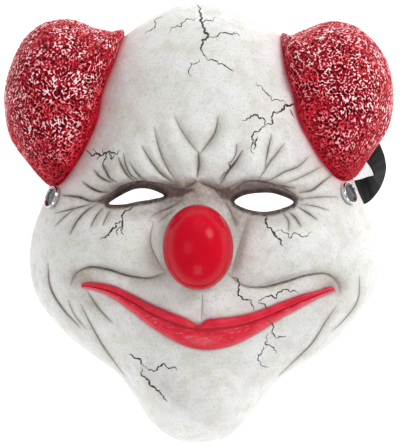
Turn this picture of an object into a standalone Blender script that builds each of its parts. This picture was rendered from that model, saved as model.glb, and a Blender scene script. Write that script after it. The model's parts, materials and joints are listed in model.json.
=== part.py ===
"""Clown mask: a hollow white face with hair puffs, ball nose, grin, rivets and an elastic strap.

Metres, +Z up. The mask lies face up on its rim: the rim plane is z = 0, +Y points to the
forehead and +X to the viewer's right. The origin is the middle of the face outline.
Across and up are shares of half the face width and half the face height.
"""
import math

import bmesh
import bpy
import numpy as np
from mathutils import Vector
from mathutils.bvhtree import BVHTree

# Face
FACE_WIDTH = 0.196
FACE_HEIGHT = 0.244
FACE_DEPTH = 0.062          # rim plane to the skin beside the nose
WALL = 0.0025
GAP = 0.0003                # clearance between pieces that touch
TEMPLE_RISE = 0.014         # how far the rim lifts at the temples for the strap
DOME_POWER = 2.8            # how flat the face stays before it turns back
DOME_ROUNDING = 2.2         # how full the turn at the side is
FOLD_DEPTH = 0.0036         # deepest crease
FOLD_WIDTH = 0.0034         # half width of a crease of width share 1
FOLD_ROLL = 0.35            # height of the rolls beside a crease, as a share of its depth
FOLD_ROLL_AT = 2.0          # how far the rolls lie from the crease, in its half widths
INNER_FOLD = 0.85           # share of a crease that the inside follows

# Nose
NOSE_WIDTH = 0.0385
NOSE_HEIGHT = 0.0465
NOSE_REACH = 0.0205         # from the ball's middle to its tip
NOSE_STANDOFF = 0.0070      # from the skin to the ball's middle
NOSE_WALL = 0.0020
NOSE_HOLE = 0.74            # opening behind the nose, as a share of the nose
NOSE_UP = -0.11             # nose middle, share of half the face height

# Lips
LIP_RISE = 0.0036
LIP_CORNER = 0.40           # share of the rise that is left at the mouth's corners
LIP_SEAM = 0.45             # depth of the mouth line, as a share of the rise
LIP_ROOT = 0.0030           # how deep the lip's blank reaches before it is fitted to the skin

# Hair puffs
PUFF_WIDTH = 0.060
PUFF_HEIGHT = 0.090
PUFF_TOP = 0.053            # rim plane to the puff's top
PUFF_WALL = 0.0025
PUFF_ACROSS = 0.79          # puff middle, shares of half the face
PUFF_UP = 0.56
PUFF_POWER = 2.3
PUFF_ROUNDING = 2.0
PUFF_SINK = 0.0040          # how far the puff's blank dips into the face before it is fitted

# Rivets
RIVET_DIAMETER = 0.0125
RIVET_CAP = 0.0024
RIVET_HEAD = 0.0090
RIVET_HEAD_THICKNESS = 0.0012
RIVET_SHANK = 0.0040
RIVET_PLACES = ((-0.805, 0.118), (0.82, 0.112))

# Strap
STRAP_WIDTH = 0.0145
STRAP_THICKNESS = 0.0012
STRAP_TAIL = 0.0070         # band left beyond each rivet
STRAP_EASE = 0.0008         # slack between the climbing band and the wall

# Resolution
FACE_SECTORS = 74
FACE_RINGS = 21
PUFF_SECTORS = 32
PUFF_RINGS = 6
NOSE_SECTORS = 20
NOSE_RINGS = 10
LIP_STATIONS = 24
EYE_SIDES = 24
RIVET_SIDES = 14
STRAP_STATIONS = 40
CREASE_STEPS = 4            # straight steps to each row of a crease
SEAT_SAMPLES = 16           # places round a disc where its seat is felt
FIRST_RING_STEP = 0.80      # ring spacing at the nose and at the rim, as shares of the mean
LAST_RING_STEP = 0.12
SHARP_EDGE = 50             # degrees above which an edge is shaded sharp

# Rim of the face, seen from the front: degrees from the forehead, distance from the nose
# on the left and on the right, rise of the rim as a share of the temple rise
RIM = (
    (0, 1.11, 1.11, 0.0),
    (15, 1.07, 1.08, 0.0),
    (30, 1.02, 1.05, 0.2),
    (45, 0.945, 0.99, 0.8),
    (60, 0.90, 0.93, 1.0),
    (75, 0.91, 0.93, 1.0),
    (88, 0.965, 0.99, 0.6),
    (100, 0.97, 1.00, 0.1),
    (115, 0.875, 0.90, 0.0),
    (130, 0.78, 0.80, 0.0),
    (140, 0.75, 0.75, 0.0),
    (150, 0.78, 0.75, 0.0),
    (160, 0.85, 0.80, 0.0),
    (170, 0.89, 0.87, 0.0),
    (180, 0.89, 0.89, 0.0),
)

# Rounded forms of the face: across, up, half size across, half size up, height as a share
# of the face depth
FORMS = (
    (-0.31, 0.25, 0.24, 0.13, 0.075),     # left brow
    (0.33, 0.24, 0.24, 0.13, 0.075),      # right brow
    (0.01, 0.30, 0.12, 0.16, 0.030),      # between the brows
    (-0.36, 0.105, 0.21, 0.060, -0.140),  # left eye hollow
    (0.37, 0.075, 0.21, 0.060, -0.140),   # right eye hollow
    (0.00, 0.10, 0.10, 0.12, 0.050),      # bridge of the nose
    (-0.50, -0.10, 0.24, 0.15, 0.120),    # left cheek
    (0.52, -0.13, 0.24, 0.15, 0.120),     # right cheek
    (0.02, -0.36, 0.34, 0.12, 0.040),     # upper lip
    (0.02, -0.64, 0.34, 0.06, -0.080),    # hollow under the lip
    (-0.02, -0.83, 0.24, 0.14, 0.190),    # chin
    (-0.80, -0.20, 0.16, 0.20, 0.050),    # left jowl
    (0.84, -0.24, 0.16, 0.20, 0.050),     # right jowl
    (-0.52, -0.56, 0.16, 0.10, -0.050),   # left jaw hollow
    (0.52, -0.58, 0.16, 0.10, -0.050),    # right jaw hollow
)

# Creases of the face: depth share, width share, route in shares across and up
FOLDS = (
    (1.00, 1.0, ((0.01, 0.16), (0.01, 0.23), (0.01, 0.30))),
    (0.80, 1.0, ((0.01, 0.27), (-0.04, 0.36), (-0.10, 0.45), (-0.13, 0.54))),
    (0.80, 1.0, ((0.02, 0.27), (0.06, 0.34), (0.11, 0.40), (0.12, 0.49))),
    (0.90, 1.0, ((-0.08, 0.17), (-0.14, 0.22), (-0.18, 0.26), (-0.21, 0.34), (-0.24, 0.47))),
    (0.80, 0.9, ((-0.17, 0.20), (-0.22, 0.26), (-0.28, 0.33), (-0.33, 0.43))),
    (0.80, 0.9, ((-0.27, 0.18), (-0.33, 0.23), (-0.36, 0.28), (-0.39, 0.37))),
    (0.60, 0.8, ((-0.36, 0.19), (-0.40, 0.25), (-0.42, 0.30))),
    (0.80, 0.9, ((-0.43, 0.17), (-0.47, 0.20), (-0.50, 0.25), (-0.50, 0.32))),
    (0.60, 0.8, ((-0.46, 0.17), (-0.52, 0.20), (-0.56, 0.24))),
    (0.60, 0.8, ((-0.49, 0.14), (-0.56, 0.15), (-0.64, 0.20))),
    (0.90, 0.9, ((-0.51, 0.11), (-0.62, 0.11), (-0.73, 0.13))),
    (0.90, 1.0, ((0.14, 0.17), (0.17, 0.23), (0.22, 0.28), (0.24, 0.35))),
    (0.80, 0.9, ((0.19, 0.15), (0.23, 0.19), (0.28, 0.24), (0.31, 0.29))),
    (0.80, 0.9, ((0.30, 0.17), (0.36, 0.24), (0.39, 0.30), (0.40, 0.36))),
    (0.60, 0.8, ((0.34, 0.18), (0.39, 0.26), (0.48, 0.34))),
    (0.80, 0.9, ((0.37, 0.17), (0.45, 0.21), (0.54, 0.24), (0.61, 0.29))),
    (0.70, 0.8, ((0.43, 0.15), (0.52, 0.17), (0.62, 0.21))),
    (0.80, 0.9, ((0.49, 0.13), (0.59, 0.13), (0.73, 0.20))),
    (0.95, 1.1, ((-0.53, 0.09), (-0.45, 0.145), (-0.33, 0.175), (-0.22, 0.165), (-0.10, 0.14))),
    (0.95, 1.1, ((0.12, 0.12), (0.22, 0.16), (0.33, 0.165), (0.44, 0.145), (0.58, 0.10))),
    (0.50, 0.8, ((-0.53, 0.08), (-0.64, 0.04), (-0.70, -0.04))),
    (0.40, 0.8, ((-0.55, 0.10), (-0.66, 0.07), (-0.80, 0.05))),
    (0.50, 0.8, ((0.54, 0.09), (0.64, 0.10), (0.73, 0.09))),
    (0.40, 0.8, ((0.53, 0.07), (0.58, 0.05), (0.63, 0.02))),
    (0.50, 0.8, ((-0.24, 0.02), (-0.18, 0.06), (-0.09, 0.09), (0.00, 0.11))),
    (0.50, 0.8, ((0.05, 0.12), (0.10, 0.10), (0.17, 0.04), (0.22, -0.03))),
    (1.00, 1.2, ((-0.18, -0.21), (-0.28, -0.23), (-0.47, -0.20), (-0.61, -0.18), (-0.69, -0.25))),
    (1.00, 1.2, ((0.18, -0.24), (0.29, -0.29), (0.42, -0.28), (0.62, -0.235), (0.73, -0.28))),
    (0.80, 1.1, ((-0.64, -0.31), (-0.62, -0.39), (-0.58, -0.48), (-0.47, -0.64))),
    (0.80, 1.1, ((0.73, -0.34), (0.69, -0.45), (0.62, -0.54), (0.47, -0.66))),
    (0.50, 1.0, ((-0.86, -0.20), (-0.85, -0.30), (-0.77, -0.41), (-0.69, -0.48))),
    (0.50, 1.0, ((0.89, -0.28), (0.87, -0.37), (0.78, -0.46))),
)

# Eye holes: across and up
EYE_LEFT = (
    (-0.490, 0.088), (-0.420, 0.125), (-0.340, 0.150), (-0.260, 0.147),
    (-0.185, 0.118), (-0.250, 0.104), (-0.330, 0.095), (-0.410, 0.084),
)
EYE_RIGHT = (
    (0.200, 0.085), (0.250, 0.112), (0.330, 0.122), (0.420, 0.118),
    (0.520, 0.082), (0.460, 0.054), (0.360, 0.040), (0.260, 0.055),
)

# Lips from the left corner to the right: across, up of the mouth line, lip above, lip below
LIPS = (
    (-0.630, -0.270, 0.010, 0.010),
    (-0.570, -0.278, 0.018, 0.014),
    (-0.480, -0.297, 0.026, 0.026),
    (-0.380, -0.337, 0.030, 0.040),
    (-0.280, -0.388, 0.032, 0.052),
    (-0.180, -0.428, 0.040, 0.066),
    (-0.070, -0.458, 0.056, 0.080),
    (0.010, -0.468, 0.030, 0.084),
    (0.070, -0.468, 0.048, 0.082),
    (0.200, -0.458, 0.050, 0.072),
    (0.320, -0.432, 0.042, 0.056),
    (0.430, -0.398, 0.036, 0.036),
    (0.550, -0.358, 0.028, 0.026),
    (0.660, -0.324, 0.016, 0.014),
    (0.725, -0.305, 0.010, 0.008),
)

# Right hair puff, seen from the front: across and up in shares of half the puff, whether
# the edge sits on the face, and its rise above the rim plane as a share of the temple rise
PUFF_EDGE = (
    (0.00, 0.92, 0.0, 0.0),
    (0.59, 0.68, 0.0, 0.0),
    (0.88, 0.34, 0.0, 0.0),
    (0.96, 0.00, 0.0, 0.2),
    (0.89, -0.34, 0.0, 0.6),
    (0.59, -0.68, 0.0, 0.9),
    (0.02, -1.00, 0.3, 1.0),
    (-0.33, -0.81, 1.0, 1.0),
    (-0.54, -0.62, 1.0, 1.0),
    (-0.77, -0.30, 1.0, 1.0),
    (-0.85, 0.00, 1.0, 0.8),
    (-0.92, 0.16, 1.0, 0.6),
    (-1.03, 0.40, 1.0, 0.3),
    (-1.12, 0.74, 0.5, 0.0),
    (-0.74, 0.86, 0.0, 0.0),
    (-0.37, 0.92, 0.0, 0.0),
)

# Strap between its two climbs to the rivets: across, up, height in strap thicknesses
STRAP_ROUTE = (
    (0.935, 0.165, 2.2),
    (0.975, 0.225, 0.7),
    (0.965, 0.320, 0.5),
    (0.860, 0.420, 0.5),
    (0.640, 0.470, 0.5),
    (0.300, 0.480, 0.5),
    (-0.050, 0.470, 0.5),
    (-0.380, 0.430, 0.5),
    (-0.600, 0.340, 0.5),
    (-0.735, 0.220, 1.5),
)


def smooth_between(stations, values, at):
    """Values of a smooth curve through unevenly spaced stations."""
    stations = np.asarray(stations, float)
    values = np.asarray(values, float)
    slopes = np.gradient(values, stations)
    index = np.clip(np.searchsorted(stations, at, side="right") - 1, 0, len(stations) - 2)
    step = stations[index + 1] - stations[index]
    share = np.clip((at - stations[index]) / step, 0.0, 1.0)
    rise = (3.0 - 2.0 * share) * share ** 2
    lean_in = share * (1.0 - share) ** 2 * step * slopes[index]
    lean_out = share ** 2 * (1.0 - share) * step * slopes[index + 1]
    return values[index] * (1.0 - rise) + values[index + 1] * rise + lean_in - lean_out


def closed_curve(rows, count):
    """Evenly numbered points of a smooth closed curve through the rows of a table."""
    rows = np.asarray(rows, float)
    points = []
    for k in range(count):
        at = k * len(rows) / count
        i = int(at)
        s = at - i
        a, b, c, d = (rows[(i + n) % len(rows)] for n in (-1, 0, 1, 2))
        points.append(0.5 * (2 * b + (c - a) * s + (2 * a - 5 * b + 4 * c - d) * s ** 2
                             + (3 * b - a - 3 * c + d) * s ** 3))
    return np.array(points)


def open_curve(rows, count, places=2):
    """Points of a smooth open curve through rows whose first columns are places."""
    rows = np.asarray(rows, float)
    lengths = np.linalg.norm(np.diff(rows[:, :places], axis=0), axis=1)
    stations = np.concatenate([[0.0], np.cumsum(lengths)])
    at = np.linspace(0.0, stations[-1], count)
    return np.stack([smooth_between(stations, rows[:, n], at) for n in range(rows.shape[1])], 1)


def rim_at(degrees):
    """Distance of the rim from the nose, and the rim's rise in metres, at angles from up."""
    right = [(row[0], row[2], row[3]) for row in RIM]
    left = [(360 - row[0], row[1], row[3]) for row in reversed(RIM[:-1])]
    rows = np.array([(a - 360, b, c) for a, b, c in left[-4:-1]] + right + left
                    + [(a + 360, b, c) for a, b, c in right[1:4]])
    reach = smooth_between(rows[:, 0], rows[:, 1], degrees)
    rise = np.clip(smooth_between(rows[:, 0], rows[:, 2], degrees), 0.0, 1.0)
    return reach, rise * TEMPLE_RISE


def dome_share(share):
    """Height of the face's dome, from 1 at the nose to 0 at the rim plane."""
    return np.maximum(1.0 - np.clip(share, 0.0, 1.0) ** DOME_POWER, 0.0) ** (1.0 / DOME_ROUNDING)


def rim_share(rise):
    """Where the dome comes down to a rim of this rise."""
    return (1.0 - (rise / FACE_DEPTH) ** DOME_ROUNDING) ** (1.0 / DOME_POWER)


def face_height(x, y):
    """Height of the face without its creases, and how much of its relief is left there."""
    across = x / (FACE_WIDTH / 2)
    up = y / (FACE_HEIGHT / 2)
    degrees = np.degrees(np.arctan2(across, up - NOSE_UP)) % 360.0
    reach, rise = rim_at(degrees)
    share = np.hypot(across, up - NOSE_UP) / reach
    keep = 1.0 - np.clip(share / rim_share(rise), 0.0, 1.0) ** 6
    relief = np.zeros_like(share)
    for form_x, form_y, half_x, half_y, height in FORMS:
        relief += height * np.exp(-((across - form_x) / half_x) ** 2 - ((up - form_y) / half_y) ** 2)
    return FACE_DEPTH * (dome_share(share) + keep * relief), keep


def crease_depth(x, y):
    """How far the creases and the rolls beside them move the skin, out being positive."""
    groove = np.zeros_like(x)
    roll = np.zeros_like(x)
    half = np.array((FACE_WIDTH / 2, FACE_HEIGHT / 2))
    for depth, width, route in FOLDS:
        points = open_curve(route, CREASE_STEPS * len(route)) * half
        steps = np.diff(points, axis=0)
        nearest = np.full(x.shape, 1.0)
        along = np.zeros(x.shape)
        for k, step in enumerate(steps):
            share = ((x - points[k, 0]) * step[0] + (y - points[k, 1]) * step[1]) / (step @ step)
            share = np.clip(share, 0.0, 1.0)
            distance = np.hypot(x - points[k, 0] - share * step[0], y - points[k, 1] - share * step[1])
            along = np.where(distance < nearest, (k + share) / len(steps), along)
            nearest = np.minimum(nearest, distance)
        fade = np.sqrt(np.clip(4.0 * along * (1.0 - along), 0.02, 1.0))
        off = nearest / (FOLD_WIDTH * width)
        groove = np.maximum(groove, depth * fade * np.exp(-off ** 2))
        roll = np.maximum(roll, depth * fade * FOLD_ROLL * np.exp(-(off - FOLD_ROLL_AT) ** 2))
    return FOLD_DEPTH * (roll * (1.0 - groove) - groove)


def grid_normals(points):
    """Outward normals of a grid of rings whose sectors run all the way round."""
    around = np.roll(points, -1, axis=1) - np.roll(points, 1, axis=1)
    outward = np.gradient(points, axis=0)
    normals = np.cross(outward, around)
    normals *= np.sign(normals[:, :, 2:3].sum()) or 1.0
    return normals / np.maximum(np.linalg.norm(normals, axis=2, keepdims=True), 1e-12)


def face_grids():
    """Outer and inner skin of the face, rings from the nose opening out to the rim."""
    degrees = np.arange(FACE_SECTORS) * 360.0 / FACE_SECTORS
    angle = np.radians(degrees)
    reach, rise = rim_at(degrees)
    hole = NOSE_HOLE / np.hypot(np.sin(angle) * FACE_WIDTH / NOSE_WIDTH,
                                np.cos(angle) * FACE_HEIGHT / NOSE_HEIGHT)
    at = np.linspace(0.0, 1.0, FACE_RINGS)[:, None]
    spread = (at ** 2 * (3 - 2 * at) + FIRST_RING_STEP * at * (1 - at) ** 2
              - LAST_RING_STEP * at ** 2 * (1 - at))
    share = hole + (rim_share(rise) * reach - hole) * spread
    x = share * np.sin(angle) * FACE_WIDTH / 2
    y = (share * np.cos(angle) + NOSE_UP) * FACE_HEIGHT / 2
    z, keep = face_height(x, y)
    z[-1] = rise
    base = np.stack([x, y, z], 2)
    normals = grid_normals(base)
    normals[-1, :, 2] = 0.0
    normals[-1] /= np.linalg.norm(normals[-1], axis=1, keepdims=True)
    crease = (crease_depth(x, y) * keep)[:, :, None]
    outer = base + crease * normals
    inner = base + (INNER_FOLD * crease - WALL) * normals
    return outer, inner, normals


def add_object(name, bm, material):
    """Make an object of this name from a bmesh."""
    bmesh.ops.recalc_face_normals(bm, faces=bm.faces)
    mesh = bpy.data.meshes.new(name)
    bm.to_mesh(mesh)
    bm.free()
    mesh.shade_smooth()
    mesh.set_sharp_from_angle(angle=math.radians(SHARP_EDGE))
    obj = bpy.data.objects.new(name, mesh)
    bpy.context.collection.objects.link(obj)
    if material:
        mesh.materials.append(material)
    else:
        obj.hide_render = True
        obj.display_type = "WIRE"
    return obj


def cut(obj, cutter):
    """Take one object out of another."""
    modifier = obj.modifiers.new("cut", "BOOLEAN")
    modifier.operation = "DIFFERENCE"
    modifier.object = cutter


def material(name, colour, roughness, metallic=0.0):
    """A Principled material."""
    result = bpy.data.materials.new(name)
    result.use_nodes = True
    shader = result.node_tree.nodes["Principled BSDF"]
    shader.inputs["Base Color"].default_value = (*colour, 1.0)
    shader.inputs["Roughness"].default_value = roughness
    shader.inputs["Metallic"].default_value = metallic
    return result


def ring_faces(bm, rings):
    """Triangles between neighbouring closed rings; a ring of one point is a pole."""
    for low, high in zip(rings, rings[1:]):
        count = max(len(low), len(high))
        for k in range(count):
            a, b = low[k % len(low)], low[(k + 1) % len(low)]
            c, d = high[k % len(high)], high[(k + 1) % len(high)]
            for corners in ((a, c, d), (a, d, b)):
                if len(set(corners)) == 3:
                    bm.faces.new(corners)


def add_rings(bm, rings):
    """Vertices for a stack of rings of points."""
    return [[bm.verts.new(point) for point in ring] for ring in rings]


def closed_stack(name, rings, look, loop=False):
    """A solid from a stack of rings, whose ends are closed or joined into a loop."""
    bm = bmesh.new()
    verts = add_rings(bm, rings)
    if loop:
        verts.append(verts[0])
    ring_faces(bm, verts)
    if not loop:
        for end in (verts[0], verts[-1]):
            if len(end) > 2:
                bm.faces.new(end)
    return add_object(name, bm, look)


def build_face(look, outer, inner):
    """The white shell with its eye holes."""
    rings = list(inner) + list(outer[::-1])
    shell = closed_stack("face_shell", rings, look, loop=True)
    for name, table in (("eye_cutter_left", EYE_LEFT), ("eye_cutter_right", EYE_RIGHT)):
        edge = closed_curve(table, EYE_SIDES) * (FACE_WIDTH / 2, FACE_HEIGHT / 2)
        prism = [[(x, y, z) for x, y in edge] for z in (FACE_DEPTH / 2, FACE_DEPTH * 1.5)]
        cut(shell, closed_stack(name, prism, None))
    return shell


def face_cutter(outer, normals):
    """The room that the face takes up, with the clearance round it."""
    skin = outer + normals * GAP
    foot = skin[-1].copy()
    foot[:, 2] = -FACE_DEPTH
    tip = skin[0].mean(axis=0)
    return closed_stack("face_cutter", [foot] + list(skin[::-1]) + [[tip]], None)


def ellipsoid(name, centre, halves, look):
    """A ball scaled to three half sizes."""
    bm = bmesh.new()
    bmesh.ops.create_uvsphere(bm, u_segments=NOSE_SECTORS, v_segments=NOSE_RINGS, radius=1.0)
    bmesh.ops.scale(bm, vec=halves, verts=bm.verts)
    bmesh.ops.translate(bm, vec=centre, verts=bm.verts)
    return add_object(name, bm, look)


def build_nose(look, room):
    """The ball nose, hollow and open into the shell."""
    y = NOSE_UP * FACE_HEIGHT / 2
    skin = float(face_height(np.array(0.0), np.array(y))[0])
    centre = Vector((0.0, y, skin + NOSE_STANDOFF))
    halves = Vector((NOSE_WIDTH / 2, NOSE_HEIGHT / 2, NOSE_REACH))
    nose = ellipsoid("nose", centre, halves, look)
    cut(nose, ellipsoid("nose_cavity_cutter", centre, halves - Vector((NOSE_WALL,) * 3), None))
    cut(nose, room)
    return nose


def build_lips(look, room):
    """The raised mouth, one strip from corner to corner."""
    rows = open_curve(LIPS, LIP_STATIONS)
    offsets = (-1.0, -0.75, -0.30, 0.0, 0.30, 0.75, 1.0)
    rings = []
    for number, (across, up, above, below) in enumerate(rows):
        full = LIP_CORNER + (1.0 - LIP_CORNER) * math.sin(math.pi * (number + 0.5) / len(rows)) ** 0.5
        top = []
        root = []
        for offset in offsets:
            x = across * FACE_WIDTH / 2
            y = (up + offset * (above if offset > 0 else below)) * FACE_HEIGHT / 2
            skin = float(face_height(np.array(x), np.array(y))[0])
            swell = math.sqrt(max(1.0 - offset ** 2, 0.0)) * (1.0 - LIP_SEAM * (offset == 0.0))
            top.append((x, y, skin + LIP_RISE * full * swell + GAP))
            if offset in (-1.0, 0.0, 1.0):
                root.append((x, y, skin - LIP_ROOT))
        rings.append(top + root[::-1])
    lips = closed_stack("lips", rings, look)
    cut(lips, room)
    return lips


def puff_grids(side):
    """Outer and inner skin of a hair puff, rings from its top to its edge."""
    edge = closed_curve(PUFF_EDGE, PUFF_SECTORS)
    x = (PUFF_ACROSS * FACE_WIDTH / 2 + edge[:, 0] * PUFF_WIDTH / 2) * side
    y = PUFF_UP * FACE_HEIGHT / 2 + edge[:, 1] * PUFF_HEIGHT / 2
    skin = face_height(x, y)[0] - PUFF_SINK
    seated = np.clip(edge[:, 2], 0.0, 1.0)
    low = np.clip(edge[:, 3], 0.0, 1.0) * TEMPLE_RISE
    foot = low * (1.0 - seated) + np.maximum(skin, low) * seated
    middle_x = PUFF_ACROSS * FACE_WIDTH / 2 * side
    middle_y = PUFF_UP * FACE_HEIGHT / 2
    at = np.sin(np.linspace(0.0, 1.0, PUFF_RINGS + 1)[1:, None] * math.pi / 2)
    height = np.maximum(1.0 - at ** PUFF_POWER, 0.0) ** (1.0 / PUFF_ROUNDING)
    outer = np.stack([middle_x + at * (x - middle_x), middle_y + at * (y - middle_y),
                      foot + (PUFF_TOP - foot) * height], 2)
    normals = grid_normals(outer)
    normals[-1, :, 2] = 0.0
    normals[-1] /= np.linalg.norm(normals[-1], axis=1, keepdims=True)
    inner = outer - PUFF_WALL * normals
    top = np.array((middle_x, middle_y, PUFF_TOP))
    return outer, inner, top


def build_puff(name, side, look, room):
    """A hollow hair puff, open at the back and seated on the face."""
    outer, inner, top = puff_grids(side)
    under = top - (0.0, 0.0, PUFF_WALL)
    rings = [[under]] + list(inner) + list(outer[::-1]) + [[top]]
    puff = closed_stack(name, rings, look)
    cut(puff, room)
    return puff


def rivet_frame(place, tree):
    """Point on the skin and outward axis of a rivet."""
    x, y = place[0] * FACE_WIDTH / 2, place[1] * FACE_HEIGHT / 2
    spread = RIVET_DIAMETER / 5
    corners = []
    for dx, dy in ((0, 0), (spread, 0), (0, spread), (-spread, 0), (0, -spread)):
        corners.append(tree.ray_cast(Vector((x + dx, y + dy, FACE_DEPTH * 2)), Vector((0, 0, -1)))[0])
    axis = (corners[1] - corners[3]).cross(corners[2] - corners[4]).normalized()
    return corners[0], axis


def seat(tree, point, axis, radius):
    """How far the skin reaches along the axis under a disc across it."""
    side = axis.orthogonal().normalized()
    other = axis.cross(side)
    reach = 0.0
    for ring in (0.5, 1.0):
        for k in range(SEAT_SAMPLES):
            turn = k * 2 * math.pi / SEAT_SAMPLES
            start = point + (side * math.cos(turn) + other * math.sin(turn)) * radius * ring
            hit = tree.ray_cast(start + axis * RIVET_DIAMETER, -axis)[0]
            if hit:
                reach = max(reach, (hit - point).dot(axis))
    return reach


def turned(name, frame, profile, look):
    """A turned solid about the frame's axis from a profile of radius and height."""
    point, axis = frame
    turn = axis.to_track_quat("Z", "Y").to_matrix()
    rings = []
    for radius, height in profile:
        if radius == 0.0:
            rings.append([point + turn @ Vector((0.0, 0.0, height))])
            continue
        angles = [k * 2 * math.pi / RIVET_SIDES for k in range(RIVET_SIDES)]
        rings.append([point + turn @ Vector((radius * math.cos(a), radius * math.sin(a), height))
                      for a in angles])
    return closed_stack(name, rings, look)


def skin_tree(grid):
    """The triangles of a skin, for finding where things meet it."""
    rings, sectors = grid.shape[:2]
    corners = [Vector(point) for point in grid.reshape(-1, 3)]
    faces = []
    for j in range(rings - 1):
        for k in range(sectors):
            after = (k + 1) % sectors
            a, b = (j + 1) * sectors + k, (j + 1) * sectors + after
            c, d = j * sectors + k, j * sectors + after
            faces += [(a, c, d), (a, d, b)]
    return BVHTree.FromPolygons(corners, faces)


def build_rivet(name, frame, levels, look, holed):
    """A rivet, one turned solid, and its hole in each piece that it passes through."""
    cap_foot, head_top = levels
    cap, rim, shank, head = RIVET_CAP, RIVET_DIAMETER / 2, RIVET_SHANK / 2, RIVET_HEAD / 2
    head_foot = head_top - RIVET_HEAD_THICKNESS
    profile = ((0.0, cap_foot + 0.50 * cap), (0.55 * rim, cap_foot + 0.42 * cap),
               (0.68 * rim, cap_foot + 0.85 * cap), (0.82 * rim, cap_foot + cap),
               (0.95 * rim, cap_foot + 0.75 * cap), (rim, cap_foot + 0.35 * cap),
               (0.94 * rim, cap_foot), (shank, cap_foot), (shank, head_top),
               (head, head_top), (head, head_foot), (0.0, head_foot))
    turned(name, frame, profile, look)
    bore = shank + GAP
    hole = turned(name + "_cutter", frame, ((0.0, 5 * cap), (bore, 5 * cap), (bore, -5 * cap),
                                            (0.0, -5 * cap)), None)
    for piece in holed:
        cut(piece, hole)


def wall_point(tree, point, axis, height):
    """Middle of the strap where it lies against the inside wall at a height."""
    out = Vector((axis.x, axis.y, 0.0)).normalized()
    start = Vector((point.x, point.y, height)) - out * FACE_WIDTH / 4
    hit = tree.ray_cast(start, out)[0]
    room = GAP + STRAP_EASE + STRAP_THICKNESS / 2 + STRAP_WIDTH ** 2 / (2 * FACE_WIDTH)
    return hit - out * room


def strap_stations(frames, depths, tree):
    """Places and width directions of the strap from the right rivet to the left one."""
    rows = []
    for (point, axis), depth in zip((frames[1], frames[0]), (depths[1], depths[0])):
        out = Vector((axis.x, axis.y, 0.0)).normalized()
        down = out * axis.z - Vector((0.0, 0.0, 1.0)) * out.dot(axis)
        across = axis.cross(down).normalized()
        middle = point - axis * depth
        climb = [(middle + down * STRAP_TAIL * step, across) for step in (-1.0, 0.0, 1.0)]
        low = point.z * 0.5 + TEMPLE_RISE * 0.3
        climb.append((wall_point(tree, point, axis, low), across))
        rows.append(climb)
    right, left = rows
    route = [Vector((across * FACE_WIDTH / 2, up * FACE_HEIGHT / 2, high * STRAP_THICKNESS))
             for across, up, high in STRAP_ROUTE]
    middle = []
    for k, place in enumerate(route):
        before = route[k - 1] if k else right[-1][0]
        after = route[k + 1] if k + 1 < len(route) else left[-1][0]
        along = after - before
        middle.append((place, Vector((-along.y, along.x, 0.0)).normalized()))
    return right + middle + left[::-1]


def build_strap(look, frames, depths, tree):
    """The elastic band, a flat band that lies behind the face."""
    rows = [(*place, *across) for place, across in strap_stations(frames, depths, tree)]
    stations = open_curve(rows, STRAP_STATIONS, places=3)
    places = stations[:, :3]
    places[:, 2] = np.maximum(places[:, 2], STRAP_THICKNESS / 2)
    along = np.gradient(places, axis=0)
    rings = []
    for place, ahead, across in zip(places, along, stations[:, 3:]):
        ahead = Vector(ahead).normalized()
        across = (Vector(across) - ahead * ahead.dot(Vector(across))).normalized() * STRAP_WIDTH / 2
        thick = ahead.cross(across).normalized() * STRAP_THICKNESS / 2
        middle = Vector(place)
        rings.append([middle - across - thick, middle + across - thick,
                      middle + across + thick, middle - across + thick])
    return closed_stack("strap", rings, look)


def main():
    """Build the mask."""
    for obj in list(bpy.data.objects):
        bpy.data.objects.remove(obj, do_unlink=True)
    white = material("white_face", (0.78, 0.77, 0.74), 0.55)
    red = material("red_gloss", (0.55, 0.01, 0.03), 0.2)
    lip_red = material("red_satin", (0.5, 0.01, 0.03), 0.4)
    hair_red = material("red_hair", (0.45, 0.02, 0.03), 0.6)
    chrome = material("chrome", (0.75, 0.75, 0.75), 0.12, metallic=1.0)
    black = material("black_elastic", (0.01, 0.01, 0.011), 0.7)
    outer, inner, normals = face_grids()
    shell = build_face(white, outer, inner)
    room = face_cutter(outer, normals)
    build_nose(red, room)
    build_lips(lip_red, room)
    build_puff("hair_puff_left", -1, hair_red, room)
    build_puff("hair_puff_right", 1, hair_red, room)
    outside, inside = skin_tree(outer), skin_tree(inner)
    frames = [rivet_frame(place, outside) for place in RIVET_PLACES]
    reaches = [WALL + seat(inside, point - axis * WALL, -axis, STRAP_WIDTH * 0.6)
               for point, axis in frames]
    depths = [reach + GAP + STRAP_THICKNESS / 2 for reach in reaches]
    strap = build_strap(black, frames, depths, inside)
    for name, frame, depth in zip(("rivet_left", "rivet_right"), frames, depths):
        cap_foot = GAP + seat(outside, *frame, RIVET_DIAMETER / 2)
        head_top = -depth - STRAP_THICKNESS / 2 - GAP
        build_rivet(name, frame, (cap_foot, head_top), chrome, (shell, strap))


main()
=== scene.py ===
"""Looks of the clown mask: painted and cracked latex face, curly hair puffs, nose, lips, rivets, strap.

Metres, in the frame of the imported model: the mask lies face up on its rim, +Y points to the
forehead and +X to the viewer's right. Across and up are shares of half the face.
"""
import json
import math

import bmesh
import bpy
import numpy as np
from mathutils import Matrix, Vector
from mathutils.bvhtree import BVHTree

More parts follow.
